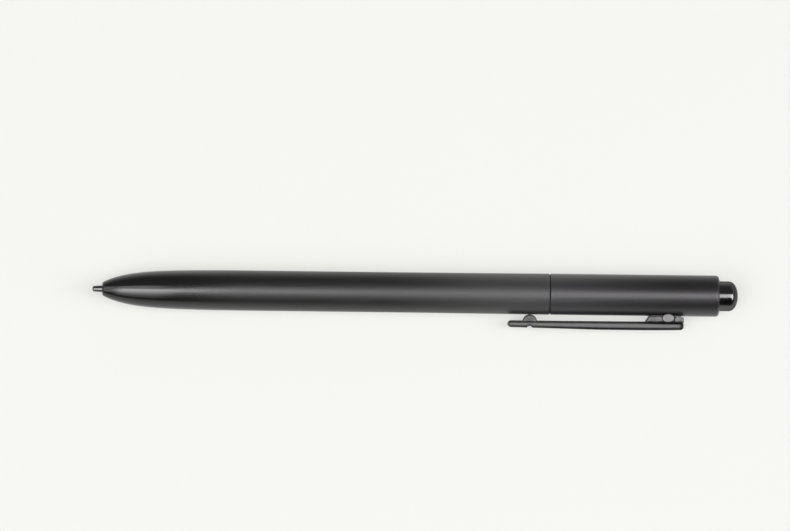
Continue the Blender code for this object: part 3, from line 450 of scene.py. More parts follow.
tubeSteps = 168     # points round the tubes and the thread
ringSteps = 144     # points round the seam ring, the bezel and the button
tubeSharp = 40      # bends of the tubes beyond these degrees stay sharp


def bodyRadius(station):
    # from the front share of the full radius up to all of it, eased in and out as 3t^2 - 2t^3
    look = barrelSwell
    t = np.clip((station - look["from"]) / (look["to"] - look["from"]), 0, 1)
    return barrelRadius * (look["frontShare"] + (1 - look["frontShare"]) * t * t * (3 - 2 * t))


def noseRadius(distance):
    # the radius nears the barrel's as exp(-distance / curve) dies away, and meets it at the taper's end
    left = math.exp(-frontBarrel["taper"] / frontBarrel["curve"])
    share = (np.exp(-distance / frontBarrel["curve"]) - left) / (1 - left)
    return bodyRadius(0.0) - (bodyRadius(0.0) - frontBarrel["noseRadius"]) * share


def ridgeRadius(station, angle, turn, gap):
    # a trapezoid over the distance from the helix: flat at the crest, then falling at the flank's slope
    look = screwThread
    centre = look["first"] + look["pitch"] * (angle / (2 * np.pi) + turn)
    beyond = np.maximum(np.abs(station - centre) - look["crestHalf"] - look["gapShare"] * gap, 0)
    return look["crest"] + gap - look["slope"] * beyond


def threadSwell(station, radius, angle):
    # the ridge runs out over a part of a turn at both ends of the thread
    look = screwThread
    onThread = (radius > threadPlug["threadFrom"]) & (station < threadPlug["threadTo"])
    for turn in range(look["turns"]):
        progress = angle / (2 * np.pi) + turn
        fade = np.clip(np.minimum(progress, look["turns"] - progress) / look["runOut"], 0, 1)
        ridge = ridgeRadius(station, angle, turn, 0.0)
        radius = np.where(onThread & (ridge > radius), radius + (ridge - radius) * fade, radius)
    return radius


def grooveSwell(station, radius, angle):
    # the same thread, larger by the gap, is cut into the mouth of the bore
    look = screwThread
    boreRadius = frontBarrel["holes"][-1][0]
    inBore = (np.abs(radius - boreRadius) < look["boreSlack"]) & (station > look["boreFrom"])
    for turn in range(-look["spareTurns"], look["turns"] + look["spareTurns"] + 1):
        groove = ridgeRadius(station, angle, turn, look["gap"])
        radius = np.where(inBore & (groove > radius), groove, radius)
    return radius


def rimWear(outline, rim):
    # worn on the outside, within a short reach of the rim's station
    onRim = np.abs(outline[:, :1] - rim) < barrelRim["wornReach"]
    return np.where(onRim & (outline[:, 1:] > barrelRim["wornFrom"]), barrelRim["wear"], 0.0)


def makeFrontBarrel():
    # the lip, the nose's curve, the barrel and the mouth's edge, then back through the stepped bore, turned
    look = frontBarrel
    distance = look["taper"] * np.linspace(0, 1, look["noseRings"]) ** look["crowding"]
    nose = np.stack([look["noseFace"] + look["chamfer"] + distance, noseRadius(distance)], axis=1)
    join = look["lipRings"]
    lip = [[look["noseFace"], look["holes"][0][0]], [look["noseFace"], look["noseFaceRadius"]],
           nose[0], nose[join]]
    end, edge = look["end"], look["edge"]
    plain = np.arange(nose[-1, 0], end - edge, ringStep)
    body = np.stack([plain, bodyRadius(plain)], axis=1)
    mouthRadius, boreRadius = bodyRadius(end), look["holes"][-1][0]
    mouth = [body[-1], [end - edge, mouthRadius], [end, mouthRadius - edge], [end, boreRadius]]
    outer = np.concatenate([roundCorners(lip, look["lipRounds"])[:-1], nose[join:-1], body[:-1],
                            roundCorners(mouth, barrelRim["round"])])
    radii, stops = np.transpose(look["holes"])
    starts = np.concatenate([[look["noseFace"]], stops[:-1]])
    inner = np.stack([np.stack([starts, stops], axis=1).ravel(), np.repeat(radii, 2)], axis=1)
    bore = fillRuns(inner[:0:-1], ringStep)
    fine = np.arange(screwThread["boreTo"], screwThread["boreFrom"], -screwThread["boreStep"])
    bore = np.concatenate([bore[:1], np.stack([fine, np.full_like(fine, boreRadius)], axis=1),
                           bore[bore[:, 0] < screwThread["boreFrom"]]])
    outline = np.concatenate([outer, bore])
    onNose = (outline[:, :1] < look["wornTo"]) & (outline[:, 1:] > look["wornFrom"])
    wear = np.where(onNose, look["noseWear"], rimWear(outline, end))
    shells = [(turnedGrid(outline, tubeSteps, grooveSwell), True, wear)]
    makePiece("frontTube", shells, "front", ["front_barrel"], satinFront, tubeSharp)


rearBarrel = {
    "start": 105.46, "edge": 0.13, "bodyFrom": 106.46, "boreFrom": 105.76, "roundFrom": 143.45, "end": 144.25,
    "endRadius": 4.04, "endRings": 14, "lipRadius": 3.92, "lip": 143.05, "bore": 4.2,
}


def makeRearBarrel():
    # the mouth's edge, the barrel and a quarter ellipse at the tail, then back along the bore, turned
    look = rearBarrel
    quarter = quarterTurn(look["endRings"])
    tail = np.stack([look["roundFrom"] + (look["end"] - look["roundFrom"]) * np.sin(quarter),
                     barrelRadius - (barrelRadius - look["endRadius"]) * (1 - np.cos(quarter))], axis=1)
    plain = np.arange(look["bodyFrom"], look["roundFrom"], ringStep)
    body = np.stack([plain, bodyRadius(plain)], axis=1)
    mouthRadius = bodyRadius(look["start"])
    head = [[look["start"], look["bore"]], [look["start"], mouthRadius - look["edge"]],
            [look["start"] + look["edge"], mouthRadius], body[0]]
    outer = np.concatenate([roundCorners(head, barrelRim["round"])[:-1], body])
    inner = cornersOf(look, "end lipRadius, lip lipRadius, lip bore, boreFrom bore")
    outline = np.concatenate([outer, tail, fillRuns(inner, ringStep)])
    shells = [(turnedGrid(outline, tubeSteps), True, rimWear(outline, look["start"]))]
    makePiece("rearTube", shells, "rear", ["rear_barrel"], satinRear, tubeSharp)


seamRing = {
    "from": 105.32, "to": 105.44, "inner": 3.97, "outer": 4.50, "round": 0.04, "run": 0.2, "steps": ringSteps,
    "corners": "from inner, from outer, to outer, to inner",
}
bezelRing = {
    "base": 142.4, "flangeTo": 142.9, "flangeRadius": 4.08, "radius": 3.80, "bore": 3.57, "rim": 144.40,
    "round": 0.07, "run": 0.4, "steps": ringSteps,
    "corners": "base bore, base flangeRadius, flangeTo flangeRadius, flangeTo radius, rim radius, rim bore",
}
threadPlug = {
    "front": 99.5, "faceRadius": 3.80, "chamferTo": 99.75, "radius": 4.05, "neck": 104.55, "neckRadius": 3.85,
    "neckTo": 105.8, "gripRadius": 4.08, "end": 112.15, "hole": 0.82, "wall": 103.0, "bore": 3.0,
    "round": 0.05, "run": 0.085, "steps": tubeSteps, "threadFrom": 4.0, "threadTo": 104.56,
    "corners": "front hole, front faceRadius, chamferTo radius, neck radius, neck neckRadius, "
    "neckTo neckRadius, neckTo gripRadius, end gripRadius, end bore, wall bore, wall hole",
}


def makeRing(name, look, body, node, material, swell=None):
    # a loop of (station, radius) corners, each of them rounded, is turned; the loop repeats no point
    corners = cornersOf(look, look["corners"])
    middle = (corners[:1] + corners[-1:]) / 2
    path = roundCorners(np.concatenate([middle, corners, middle]), look["round"])
    loop = fillRuns(path, look["run"])[:-1]
    shells = [(turnedGrid(loop, look["steps"], swell), True, 0.0)]
    makePiece(name, shells, body, [node], material)


penNib = {
    "tipRadius": 0.69, "tipRound": 0.45, "tipRings": 16, "rootRadius": 0.85, "root": 2.36, "neck": 4.56,
    "neckTo": 4.66, "stemRadius": 0.6, "end": 16.5, "axis": 0.0, "rounds": (0.3, 0.05, 0.05, 0.12),
    "run": 0.4, "wornTo": 0.5, "steps": 64,
}


def makeNib():
    # a quarter ellipse at the tip, a slight taper to the root, then the stem, turned
    look = penNib
    quarter = quarterTurn(look["tipRings"])
    tip = np.stack([look["tipRound"] * (1 - np.cos(quarter)), look["tipRadius"] * np.sin(quarter)], axis=1)
    rest = cornersOf(look, "root rootRadius, neck rootRadius, neckTo stemRadius, end stemRadius, end axis")
    rest = roundCorners(np.concatenate([tip[-1:], rest]), look["rounds"])
    outline = np.concatenate([tip[:-1], fillRuns(rest, look["run"])])
    wear = np.clip(1 - outline[:, :1] / look["wornTo"], 0, 1)
    shells = [(turnedGrid(outline, look["steps"]), False, wear)]
    makePiece("writingNib", shells, "nib", ["nib"], nibPlastic)


tailButton = {
    "boss": 141.9, "bossRadius": 0.9, "roof": 146.05, "cup": 2.5, "flange": 141.45, "flangeTo": 142.25,
    "flangeRadius": 4.05, "radius": 3.45, "dome": 146.5, "end": 148.65, "power": 2.1, "axis": 0.0,
    "domeRings": 48, "round": 0.06, "run": 0.8,
}


def makeButton():
    # the dome is the quarter of |r|^n + |h|^n = 1, a little fuller than an ellipse
    look = tailButton
    under = cornersOf(look, "boss axis, boss bossRadius, roof bossRadius, roof cup, flange cup, "
                            "flange flangeRadius, flangeTo flangeRadius, flangeTo radius, dome radius")
    quarter = quarterTurn(look["domeRings"])
    rise = np.sin(quarter) ** (2 / look["power"])
    fall = np.cos(quarter) ** (2 / look["power"])
    fall[-1] = 0
    dome = np.stack([look["dome"] + (look["end"] - look["dome"]) * rise, look["radius"] * fall], axis=1)
    outline = np.concatenate([fillRuns(roundCorners(under, look["round"]), look["run"])[:-1], dome])
    shells = [(turnedGrid(outline, ringSteps), False, 0.0)]
    makePiece("tailCap", shells, "button", ["tail_button"], buttonGloss)


makeFrontBarrel()
makeRearBarrel()
makeRing("seamGasket", seamRing, "seam", "seam_ring", seamRubber)
makeRing("buttonGuide", bezelRing, "rear", "button_bezel", bezelMetal)
makeNib()
makeButton()
makeRing("threadPlug", threadPlug, "rear", "threaded_coupling", couplingMetal, threadSwell)


# Clip and its pin

clipStrip = {
    "tip": 95.7, "heel": 136.22, "inner": 6.11, "outer": 8.04, "tipOuter": 7.67, "taperEnd": 116.6,
    "halfWidth": 2.2, "corner": 0.66, "cornerShare": 0.98, "tipRound": 0.78, "tipPlan": 0.8,
    "heelRound": 0.7, "endRound": 0.5, "endPlan": 1.0, "easeFrom": 124.0, "ease": 0.17,
    "innerLow": ((108.0, 0.0), (128.0, 0.06), (131.0, 0.0)),
    "notchAt": 100.8, "notchRadius": 0.7, "notchDepth": 0.36, "wear": 0.2, "wornReach": 0.6,
}
stripRings = {
    "atEnd": 14, "step": 0.6, "fromTip": 1.0, "fromHeel": 0.8, "atNotch": 61, "notchReach": 0.9,
    "onCorner": 8, "onSide": (0.04, 0.5, 0.96), "closing": (0.5, 0.0),
}
clipBump = {"at": 100.8, "radius": 1.68, "apex": 4.715, "halfWidth": 1.9, "edge": 0.36, "endRings": 8,
            "points": 48}
clipCheek = {
    "near": 1.6, "far": 2.05, "hole": 0.48, "pinAt": 132.6, "pinReach": 5.25, "lobe": 0.7, "lobePoints": 24,
    "front": 127.3, "rake": 128.2, "foot": 4.76, "root": 6.18,
    "heelAt": 136.02, "heelFoot": 4.93, "heel": 136.22, "heelReach": 5.05, "cornerRound": 0.12, "run": 0.2,
    "rootRound": 0.44, "frontRound": 0.36, "footRound": 0.24, "heelRound": 0.2, "rings": 40, "crowding": 1.3,
    "recessAt": 0.17, "recessLong": 1.52, "recessHigh": 0.85, "recessDeep": 0.34, "recessStep": 0.2,
    "recessPower": 4, "plainRings": 3,
}


def quarterDrop(distance, radius):
    # how far a quarter circle of that radius falls below its top, from the distance still left to its end
    inside = np.clip(radius - distance, 0, radius)
    return radius - np.sqrt(np.maximum(radius ** 2 - inside ** 2, 0))


def stripStations():
    # even steps along the clip, closer over the notch, and at both ends as a quarter circle's points lie
    look, rings = clipStrip, stripRings
    turn = quarterTurn(rings["atEnd"])
    runs = [look["tip"] + look["tipRound"] * (1 - np.cos(turn)),
            np.arange(look["tip"] + rings["fromTip"], look["heel"] - rings["fromHeel"], rings["step"]),
            look["notchAt"] + np.linspace(-rings["notchReach"], rings["notchReach"], rings["atNotch"])]
    runs += [look["heel"] - look[key] * (1 - np.sin(turn)) for key in ("heelRound", "endRound", "endPlan")]
    return np.unique(np.round(np.concatenate(runs), 4))[:, None]


def stripSection(halfWidth, halfThick, corner):
    # a rectangle with four quarter circles as corners and a few more points on each straight side; gives each
    # point's offset, its height over the middle, and how far it lies inside a corner
    count = stripRings["onCorner"]
    bend = np.concatenate([np.linspace(k, k + 1, count) for k in range(4)]) * np.pi / 2
    signs = np.repeat([[1, 1], [-1, 1], [-1, -1], [1, -1]], count, axis=0)
    slots = np.concatenate([np.arange(count), count - 1 + np.array(stripRings["onSide"])])
    slots = np.concatenate([k * count + slots for k in range(4)])
    low = slots.astype(int)
    high = (low + 1) % (4 * count)
    part = slots - low
    offset = signs[:, 0] * (halfWidth - corner) + corner * np.cos(bend)
    height = signs[:, 1] * (halfThick - corner) + corner * np.sin(bend)
    offset, height = (side[:, low] * (1 - part) + side[:, high] * part for side in (offset, height))
    return offset, height, np.abs(np.sin(2 * bend))[low] * (part == 0)


def stripGrid():
    # a rounded rectangle is carried along the clip; its inner and outer faces, its half width and its
    # corner radius are functions of the station, and it closes to a line at the tip and a point at the heel
    look = clipStrip
    station = stripStations()
    fromTip = station - look["tip"]
    toHeel = look["heel"] - station
    tipDrop = quarterDrop(fromTip, look["tipRound"])
    taperFrom = look["tip"] + look["tipRound"]
    rise = np.clip((station - taperFrom) / (look["taperEnd"] - taperFrom), 0, 1)
    notchAway = np.abs(station - look["notchAt"])
    floor = np.sqrt(np.maximum(look["notchRadius"] ** 2 - notchAway ** 2, 0))
    notch = np.maximum(floor - look["notchRadius"] + look["notchDepth"], 0)
    inner = look["inner"] + tipDrop + quarterDrop(toHeel, look["endRound"])
    inner = inner - np.interp(station, *np.transpose(look["innerLow"]))
    outer = look["tipOuter"] + (look["outer"] - look["tipOuter"]) * rise - tipDrop - notch
    eased = np.clip((station - look["easeFrom"]) / (look["heel"] - look["easeFrom"]), 0, 1)
    outer = outer - quarterDrop(toHeel, look["heelRound"]) - look["ease"] * eased ** 2
    halfWidth = look["halfWidth"] - quarterDrop(fromTip, look["tipPlan"])
    halfWidth = halfWidth - quarterDrop(toHeel, look["endPlan"])
    halfThick = (outer - inner) / 2
    middle = (outer + inner) / 2
    corner = np.minimum(look["corner"], halfThick * look["cornerShare"])
    offset, height, onCorner = stripSection(halfWidth, halfThick, corner)
    closing = np.array(stripRings["closing"])[:, None]
    offset = np.concatenate([offset, offset[-1:] * closing])
    reach = np.concatenate([middle + height, middle[-1:] + height[-1:] * closing])
    station = np.concatenate([station, np.full_like(closing, look["heel"])])
    nearEnd = 1 - np.minimum(station - look["tip"], look["heel"] - station) / look["wornReach"]
    wear = look["wear"] * np.maximum(onCorner, np.clip(nearEnd, 0, 1))
    return penPlace(station, reach, offset), wear


def bumpGrid():
    # half a disc is carried across the clip; its radius falls as a quarter circle near both ends, closes to
    # the disc's middle there, and its flat side lies inside the strip
    look = clipBump
    turn = quarterTurn(look["endRings"])
    across = look["halfWidth"] - look["edge"] * (1 - np.cos(turn))
    across = np.concatenate([across[:1], across, -across[::-1], -across[:1]])[:, None]
    radius = look["radius"] - look["edge"] * (1 - np.sin(turn))
    radius = np.concatenate([[0], radius, radius[::-1], [0]])[:, None]
    sweep = np.linspace(np.pi, 2 * np.pi, look["points"])
    centre = look["apex"] + look["radius"]
    return penPlace(look["at"] + radius * np.cos(sweep), centre + radius * np.sin(sweep), across)


def cheekGrid(sign):
    # rays from the pin run from its hole to the cheek's outline. The outer face falls off as a quarter circle
    # towards each straight side, and steps down inside a squarish oval round the rivet's head
    look = clipCheek
    pin = np.array([look["pinAt"], look["pinReach"]])
    sink = math.asin((look["pinReach"] - look["foot"]) / look["lobe"])
    sweep = np.linspace(np.pi + sink, 2 * np.pi - sink, look["lobePoints"])
    lobe = pin + look["lobe"] * np.stack([np.cos(sweep), np.sin(sweep)], axis=1)
    corners = np.concatenate([cornersOf(look, "pinAt root, front root, rake foot"), lobe,
                              cornersOf(look, "heelAt heelFoot, heel heelReach, heel root, pinAt root")])
    outline = fillRuns(roundCorners(corners, look["cornerRound"]), look["run"])[:-1]
    ray = outline - pin
    length = np.linalg.norm(ray, axis=1, keepdims=True)
    share = np.concatenate([[0, 1], 1 - np.linspace(0, 1, look["rings"]) ** look["crowding"]])
    distance = look["hole"] + (length - look["hole"]) * share
    place = pin + ray[:, None] / length[:, None] * distance[..., None]

    rake = np.array([look["root"] - look["foot"], look["rake"] - look["front"]])
    sides = (((0, look["root"]), (0, -1), look["rootRound"]), ((0, look["foot"]), (0, 1), look["footRound"]),
             ((look["heel"], 0), (-1, 0), look["heelRound"]),
             ((look["front"], look["root"]), rake / np.linalg.norm(rake), look["frontRound"]))
    drops = [quarterDrop(np.dot(place - point, inwards), edge) for point, inwards, edge in sides]
    fromHead = np.abs(place - pin - [look["recessAt"], 0]) / [look["recessLong"], look["recessHigh"]]
    oval = np.sum(fromHead ** look["recessPower"], axis=-1) ** (1 / look["recessPower"])
    t = np.clip((1 - oval) / look["recessStep"], 0, 1)
    drops.append(look["recessDeep"] * t * t * (3 - 2 * t))
    offset = look["far"] - np.max(drops, axis=0)
    offset[:, :2] = look["near"]
    wear = np.where(np.arange(len(share)) < look["plainRings"], 0.0, 1.0)
    return penPlace(place[..., 0], place[..., 1], sign * offset), wear


def makeClip():
    strip, stripWear = stripGrid()
    shells = [(strip, False, stripWear), (bumpGrid(), False, 0.0)]
    for sign in (-1, 1):
        cheek, cheekWear = cheekGrid(sign)
        shells.append((cheek, True, cheekWear))
    makePiece("springClip", shells, "clip", ["clip"], clipBlack)


hingePin = {
    "at": 132.6, "reach": 5.25, "shank": 0.4, "shoulder": 0.62, "shoulderFrom": 2.13, "headFrom": 2.28,
    "rimFrom": 2.49, "crownFrom": 2.548, "crownRadius": 0.88, "end": 2.56, "headRadius": 0.95, "middle": 0.0,
    "headStretch": 1.43, "headLift": 0.1,
    "rounds": (0.04, 0.04, 0.04, 0.03, 0.06, 0.1), "run": 0.15, "steps": 72,
    "headSlack": 0.01, "shoulderSlack": 0.02, "faceDeep": 0.1,
}
pinMetal = turnedFinish("pinMetal", {
    "colour": (0.165, 0.162, 0.158), "patch": 0.25, "rough": 0.46, "rings": 5.0, "ringDepth": 0.003,
    "metal": 1.0}, tuple(penPlace(hingePin["at"], hingePin["reach"], 0.0)),
    -math.atan2(sideways[2], sideways[1]), 'Y')


def makePin():
    # half a profile of (offset, radius) is mirrored, turned about the pin's axis, and its heads are drawn
    # out along the pen
    look = hingePin
    half = cornersOf(look, "middle shank, shoulderFrom shank, shoulderFrom shoulder, headFrom shoulder, "
                           "headFrom headRadius, rimFrom headRadius, crownFrom crownRadius, end middle")
    half = fillRuns(roundCorners(half, look["rounds"]), look["run"])
    profile = np.concatenate([(half * [-1, 1])[::-1], half[1:]])
    angle = fullTurn(look["steps"])
    offset, radius = profile[:, :1], profile[:, 1:]
    pastShoulder = radius >= look["shoulder"] + look["shoulderSlack"]
    onFace = np.abs(offset) > look["end"] - look["faceDeep"]
    onHead = (np.abs(offset) > look["headFrom"] - look["headSlack"]) & (pastShoulder | onFace)
    station = look["at"] + radius * np.where(onHead, look["headStretch"], 1.0) * np.cos(angle)
    reach = look["reach"] - np.where(onHead, look["headLift"], 0.0) + radius * np.sin(angle)
    shells = [(penPlace(station, reach, offset), False, 0.0)]
    makePiece("clipRivet", shells, "clip", ["clip_pin"], pinMetal)


makeClip()
makePin()


# Springs

springs = {
    "nibCoil": {
        "node": "nib_spring", "body": "front", "from": 17.75, "to": 21.5, "radii": (1.5, 1.5), "wire": 0.16,
        "turns": 5, "joint": "nib_press", "fixed": 21.5, "travel": 0.4},
    "cellCoil": {
        "node": "battery_spring", "body": "rear", "from": 97.18, "to": 98.88, "radii": (1.4, 2.5),
        "wire": 0.17, "turns": 3},
    "buttonCoil": {
        "node": "button_spring", "body": "rear", "from": 140.3, "to": 145.95, "radii": (1.75, 1.75),
        "wire": 0.18, "turns": 6, "joint": "button_press", "fixed": 140.3, "travel": 1.0},
    "clipCoil": {
        "node": "clip_spring", "body": "rear", "station": 134.55, "from": 4.85, "to": 6.01,
        "radii": (0.55, 0.55), "wire": 0.12, "turns": 3,
        "joint": "clip_open", "fixed": 4.85, "travel": 0.238},
}
for coilName, look in springs.items():
    length = look["to"] - look["from"]
    x, y, height = coilGrid(length, *look["radii"], look["wire"], look["turns"])
    # a spring with a station stands there across the pen, and the others lie along it
    if "station" in look:
        grid = penPlace(look["station"] + x, look["from"] + height, y)
        axis, anchor = outward, penPlace(look["station"], look["fixed"], 0.0)
    else:
        grid = penPlace(look["from"] + height, x, y)
        axis, anchor = along, penPlace(look.get("fixed", look["from"]), 0.0, 0.0)
    shells = [(grid, False, 0.0)]
    coil = makePiece(coilName, shells, look["body"], [look["node"]], springWire)
    if "joint" in look:
        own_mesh(coil)


# Finishes of the pieces that keep their CAD shape


def boardFinish():
    # green resist over copper: lengthwise tracks from a warped wave, pads from a cell pattern
    look = {"colour": (0.012, 0.10, 0.045), "track": (0.03, 0.20, 0.09), "pad": (0.55, 0.45, 0.22),
            "stretch": 4.0, "tracks": 1.1, "warp": 3.0, "trackEdge": (0.62, 0.68), "trackDepth": 0.02,
            "pads": 0.9, "padEdge": (0.14, 0.17), "patch": 0.3, "rough": (0.28, 0.42)}
    material, tree, shader = newMaterial("boardGreen", look)
    plain = millimetres(tree)
    values = {"Vector": millimetres(tree, look["stretch"]), "Scale": look["tracks"],
              "Distortion": look["warp"], "Detail": 1.0}
    wave = addNode(tree, "ShaderNodeTexWave", values, wave_type='BANDS', bands_direction='Y').outputs[1]
    cells = addNode(tree, "ShaderNodeTexVoronoi", {"Vector": plain, "Scale": look["pads"]}).outputs[0]
    tracks = mapped(tree, wave, 0, 1, *look["trackEdge"])
    pads = mapped(tree, cells, 1, 0, *look["padEdge"])
    colour = mixed(tree, pads, mixed(tree, tracks, look["colour"], look["track"]), look["pad"])
    roughness = mapped(tree, noise(tree, plain, look["patch"]), *look["rough"])
    bump = bumped(tree, tracks, look["trackDepth"])
    feed(tree, shader, {"Base Color": colour, "Roughness": roughness, "Normal": bump})
    return material


def cellFinish():
    # a plain sleeve between bare steel ends, parted by the station, with fine scuffs round the can
    look = {"colour": (0.16, 0.18, 0.22), "steel": (0.52, 0.51, 0.49), "band": (0.55, 0.56, 0.58),
            "sleeveFrom": (1.55, 1.6), "bareEnd": (0.75, 0.7), "bandFrom": (5.0, 5.05), "bandTo": (7.4, 7.45),
            "scuff": (0.4, 0.4, 0.4), "scuffSize": 0.8, "scuffShare": 0.3, "scuffRange": (0.55, 0.75),
            "rough": (0.24, 0.42)}
    material, tree, shader = newMaterial("cellSleeve", look)
    low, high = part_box("battery")
    vector = millimetres(tree, 1.0, (low.x, 0, 0))
    station = parted(tree, vector)[0]
    length = (high.x - low.x) / mm
    sleeveTo = [length - bare for bare in look["bareEnd"]]
    sleeve = multiplied(tree, mapped(tree, station, 0, 1, *look["sleeveFrom"]),
                        mapped(tree, station, 1, 0, *sleeveTo))
    band = multiplied(tree, mapped(tree, station, 0, 1, *look["bandFrom"]),
                      mapped(tree, station, 1, 0, *look["bandTo"]))
    colour = mixed(tree, sleeve, look["steel"], mixed(tree, band, look["colour"], look["band"]))
    scuffs = noise(tree, vector, look["scuffSize"], detail=5.0)
    scuffed = mapped(tree, scuffs, 0, look["scuffShare"], *look["scuffRange"])
    colour = mixed(tree, scuffed, colour, look["scuff"])
    feed(tree, shader, {"Base Color": colour, "Metallic": mapped(tree, sleeve, 1, 0, 0, 1),
                        "Roughness": mapped(tree, scuffs, *look["rough"])})
    return material


keptNodes = (
    (clipBlack, "clip_lug"), (springWire, "lug_screw"), (whitePlastic, "nib_holder nib_bush"),
    (framePlastic, "pressure_sensor board_frame rear_frame tail_switch"),
    (boardFinish(), "main_board radio_board"), (chipPlastic, "control_chip boost_coil"),
    (brassPlate, "tip_electrode positive_contact contact_rivet"), (cellFinish(), "battery"),
    (shieldTin, "radio_chip"), (plungerRed, "switch_plunger"),
)
for material, nodeNames in keptNodes:
    for nodeName in nodeNames.split():
        mesh = frame["nodes"][nodeName].data
        mesh.materials.clear()
        mesh.materials.append(material)
print("CAD nodes finished")


# Floor, light and camera

studio = {
    "floorColour": (0.684, 0.684, 0.665), "paper": (0.97, 0.97, 0.941), "floorHalf": 4.0, "floorPoints": 9,
    "floorDrop": 0.00002, "floorRough": 0.8, "floorSpecular": 0.2, "fibre": 2.5, "fibreSpread": 0.003,
    "seenPaper": 0.55, "mirroredFar": 0.45, "mirroredFade": (-60.0, -4.0),
    "mirroredTail": 0.3, "tailFade": (77.0, 100.0),
    "skyDim": 0.15, "skyPale": 0.62, "skyEdge": (0.1, 0.5), "skyNear": 0.1, "skySides": (-0.3, 0.3),
    "skyColour": (1.0, 1.0, 0.985), "panelsAway": 2.8,
}
# each panel's angles of lean and of cross in degrees, and its radiance
panels = {
    "keyPanel": ((-7, 3), (-7, 14), 4.1),
    "keyTail": ((3, 28), (-16, 8.5), 4.2),
    "nosePanel": ((-30, -7), (-1.5, 12), 6.1),
    "noseMiddle": ((-33, -6.5), (12, 26), 4.0),
    "noseSkirt": ((-36, -7), (26, 40), 1.8),
    "noseHem": ((-36, -8), (40, 56), 0.75),
    "noseFill": ((-36, -8), (-23, -1.5), 1.8),
    "noseFront": ((-40, -30), (-1.5, 20), 3.3),
    "tipPanel": ((-64, -40), (-20, 30), 1.3),
    "tailPanel": ((28, 54), (-13, 11), 5.4),
    "tailEnd": ((54, 72), (-8, 21), 6.4),
}
shot = {"imageSize": (790, 531), "pixelsPerMm": 4.3438, "penMiddle": (414.99, 292.55), "roll": 0.69,
        "lens": 300.0, "sensor": 36.0, "clipEnd": 100}


def putInScene(item, right, up, back, place):
    # the item's own x, y and z point right, up and back
    turn = np.eye(4)
    turn[:3] = np.stack([right, up, back, place], axis=1)
    item.matrix_world = Matrix(turn.tolist())
    scene.collection.objects.link(item)


def makeFloor():
    # cameras see the paper's tone over its shadows; reflections see its glow fade towards the camera and the
    # tail, as painted shade
    side = np.linspace(-studio["floorHalf"], studio["floorHalf"], studio["floorPoints"])
    x, y = np.meshgrid(side, side)
    points = np.stack([x, y, np.full_like(x, -studio["floorDrop"])], axis=-1).reshape(-1, 3)
    index = np.arange(x.size).reshape(x.shape)
    faces = np.stack([index[:-1, :-1], index[:-1, 1:], index[1:, 1:], index[1:, :-1]], axis=-1).reshape(-1, 4)
    mesh = bpy.data.meshes.new("tableTop")
    mesh.from_pydata(points.tolist(), [], faces.tolist())
    look = {"colour": studio["floorColour"], "specular": studio["floorSpecular"]}
    material, tree, shader = newMaterial("palePaper", look)
    plain = millimetres(tree)
    fibres = noise(tree, plain, studio["fibre"], detail=4.0)
    colour = varied(tree, fibres, studio["floorColour"], studio["fibreSpread"])
    feed(tree, shader, {"Base Color": colour})
    shader.inputs["Roughness"].default_value = studio["floorRough"]
    light = addNode(tree, "ShaderNodeLightPath").outputs
    paper = (*studio["paper"], 1)
    seenGlow = addNode(tree, "ShaderNodeEmission", {"Color": paper, "Strength": 1.0})
    seen = multiplied(tree, light["Is Camera Ray"], studio["seenPaper"])
    surface = addNode(tree, "ShaderNodeMixShader", {0: seen, 1: shader.outputs[0], 2: seenGlow.outputs[0]})
    spot = parted(tree, plain)
    # painted shade: the glow that the pen reflects is dimmer towards the camera's side and the tail
    level = multiplied(tree, mapped(tree, spot[1], studio["mirroredFar"], 1, *studio["mirroredFade"]),
                       mapped(tree, spot[0], 1, studio["mirroredTail"], *studio["tailFade"]))
    mirrorGlow = addNode(tree, "ShaderNodeEmission", {"Color": paper, "Strength": level})
    mirrored = worked(tree, 'MAXIMUM', light["Is Glossy Ray"], light["Is Transmission Ray"])
    surface = addNode(tree, "ShaderNodeMixShader",
                      {0: mirrored, 1: surface.outputs[0], 2: mirrorGlow.outputs[0]})
    feed(tree, tree.nodes["Material Output"], {"Surface": surface.outputs[0]})
    mesh.materials.append(material)
    floor = bpy.data.objects.new("tableTop", mesh)
    scene.collection.objects.link(floor)


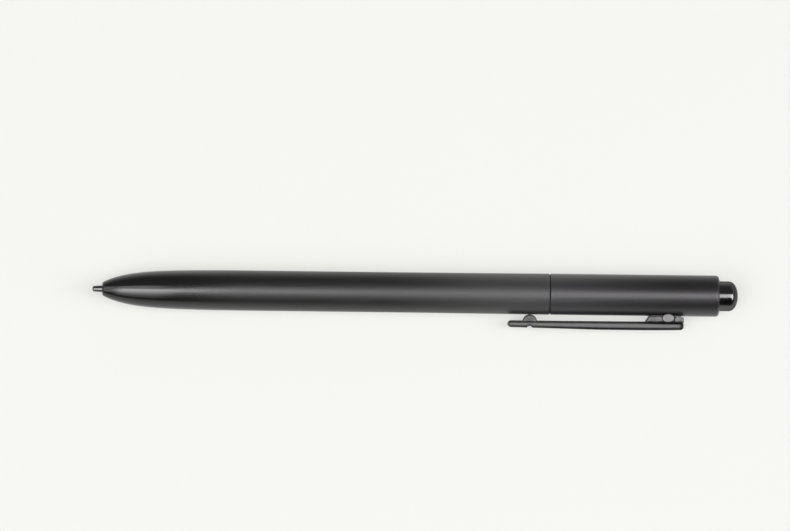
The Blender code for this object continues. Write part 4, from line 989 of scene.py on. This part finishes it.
def makeLamp(name, leans, crosses, radiance, target, toCamera):
    # an area lamp facing the pen. It fills the angles that lean from the camera's direction towards the tail
    # and across it towards the clip, and its power gives its face the radiance
    lean, cross = np.radians(np.mean(leans)), np.radians(np.mean(crosses))
    back = math.cos(lean) * (math.cos(cross) * toCamera + math.sin(cross) * outward) + math.sin(lean) * along
    away = studio["panelsAway"]
    size = 2 * away * np.tan(np.radians([np.ptp(leans) / 2, np.ptp(crosses) / 2]))
    lamp = bpy.data.lights.new(name, 'AREA')
    lamp.shape = 'RECTANGLE'
    lamp.size, lamp.size_y = size
    lamp.energy = radiance * math.pi * size[0] * size[1]
    item = bpy.data.objects.new(name, lamp)
    item.visible_camera = False
    right = along - back * (along @ back)
    right = right / np.linalg.norm(right)
    putInScene(item, right, np.cross(back, right), back, target + back * away)


def makeSky():
    # dim overhead and pale towards the horizon, by the height of the direction, and dimmer on the clip's side
    world = bpy.data.worlds.new("softRoom")
    world.use_nodes = True
    tree = world.node_tree
    parts = parted(tree, addNode(tree, "ShaderNodeTexCoord").outputs["Generated"])
    pale = mapped(tree, parts[2], studio["skyPale"], studio["skyDim"], *studio["skyEdge"])
    level = multiplied(tree, pale, mapped(tree, parts[1], studio["skyNear"], 1, *studio["skySides"]))
    feed(tree, tree.nodes["Background"], {"Strength": level})
    tree.nodes["Background"].inputs["Color"].default_value = (*studio["skyColour"], 1)
    scene.world = world


def makeCamera():
    # it looks along the clip's pin, from where the pen's middle falls on its place in the picture
    back = -sideways
    upright = -outward
    roll = math.radians(shot["roll"])
    right = math.cos(roll) * along + math.sin(roll) * upright
    up = -math.sin(roll) * along + math.cos(roll) * upright
    width, height = shot["imageSize"]
    focal = shot["lens"] / shot["sensor"] * width
    middle = penPlace(0.5 * (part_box("tail_button")[1].x - nibTip[0]) / mm, 0.0, 0.0)
    shiftRight = (width / 2 - shot["penMiddle"][0]) / shot["pixelsPerMm"]
    shiftUp = (shot["penMiddle"][1] - height / 2) / shot["pixelsPerMm"]
    place = middle + mm * (back * focal / shot["pixelsPerMm"] + right * shiftRight + up * shiftUp)
    data = bpy.data.cameras.new("photoCamera")
    data.lens = shot["lens"]
    data.sensor_width = shot["sensor"]
    data.sensor_fit = 'HORIZONTAL'
    data.clip_end = shot["clipEnd"]
    camera = bpy.data.objects.new("photoCamera", data)
    putInScene(camera, right, up, back, place)
    scene.camera = camera
    return middle, back


makeFloor()
penMiddle, toCamera = makeCamera()
for panelName, look in panels.items():
    makeLamp(panelName, *look, penMiddle, toCamera)
makeSky()
print("stage ready")

bpy.context.view_layer.update()
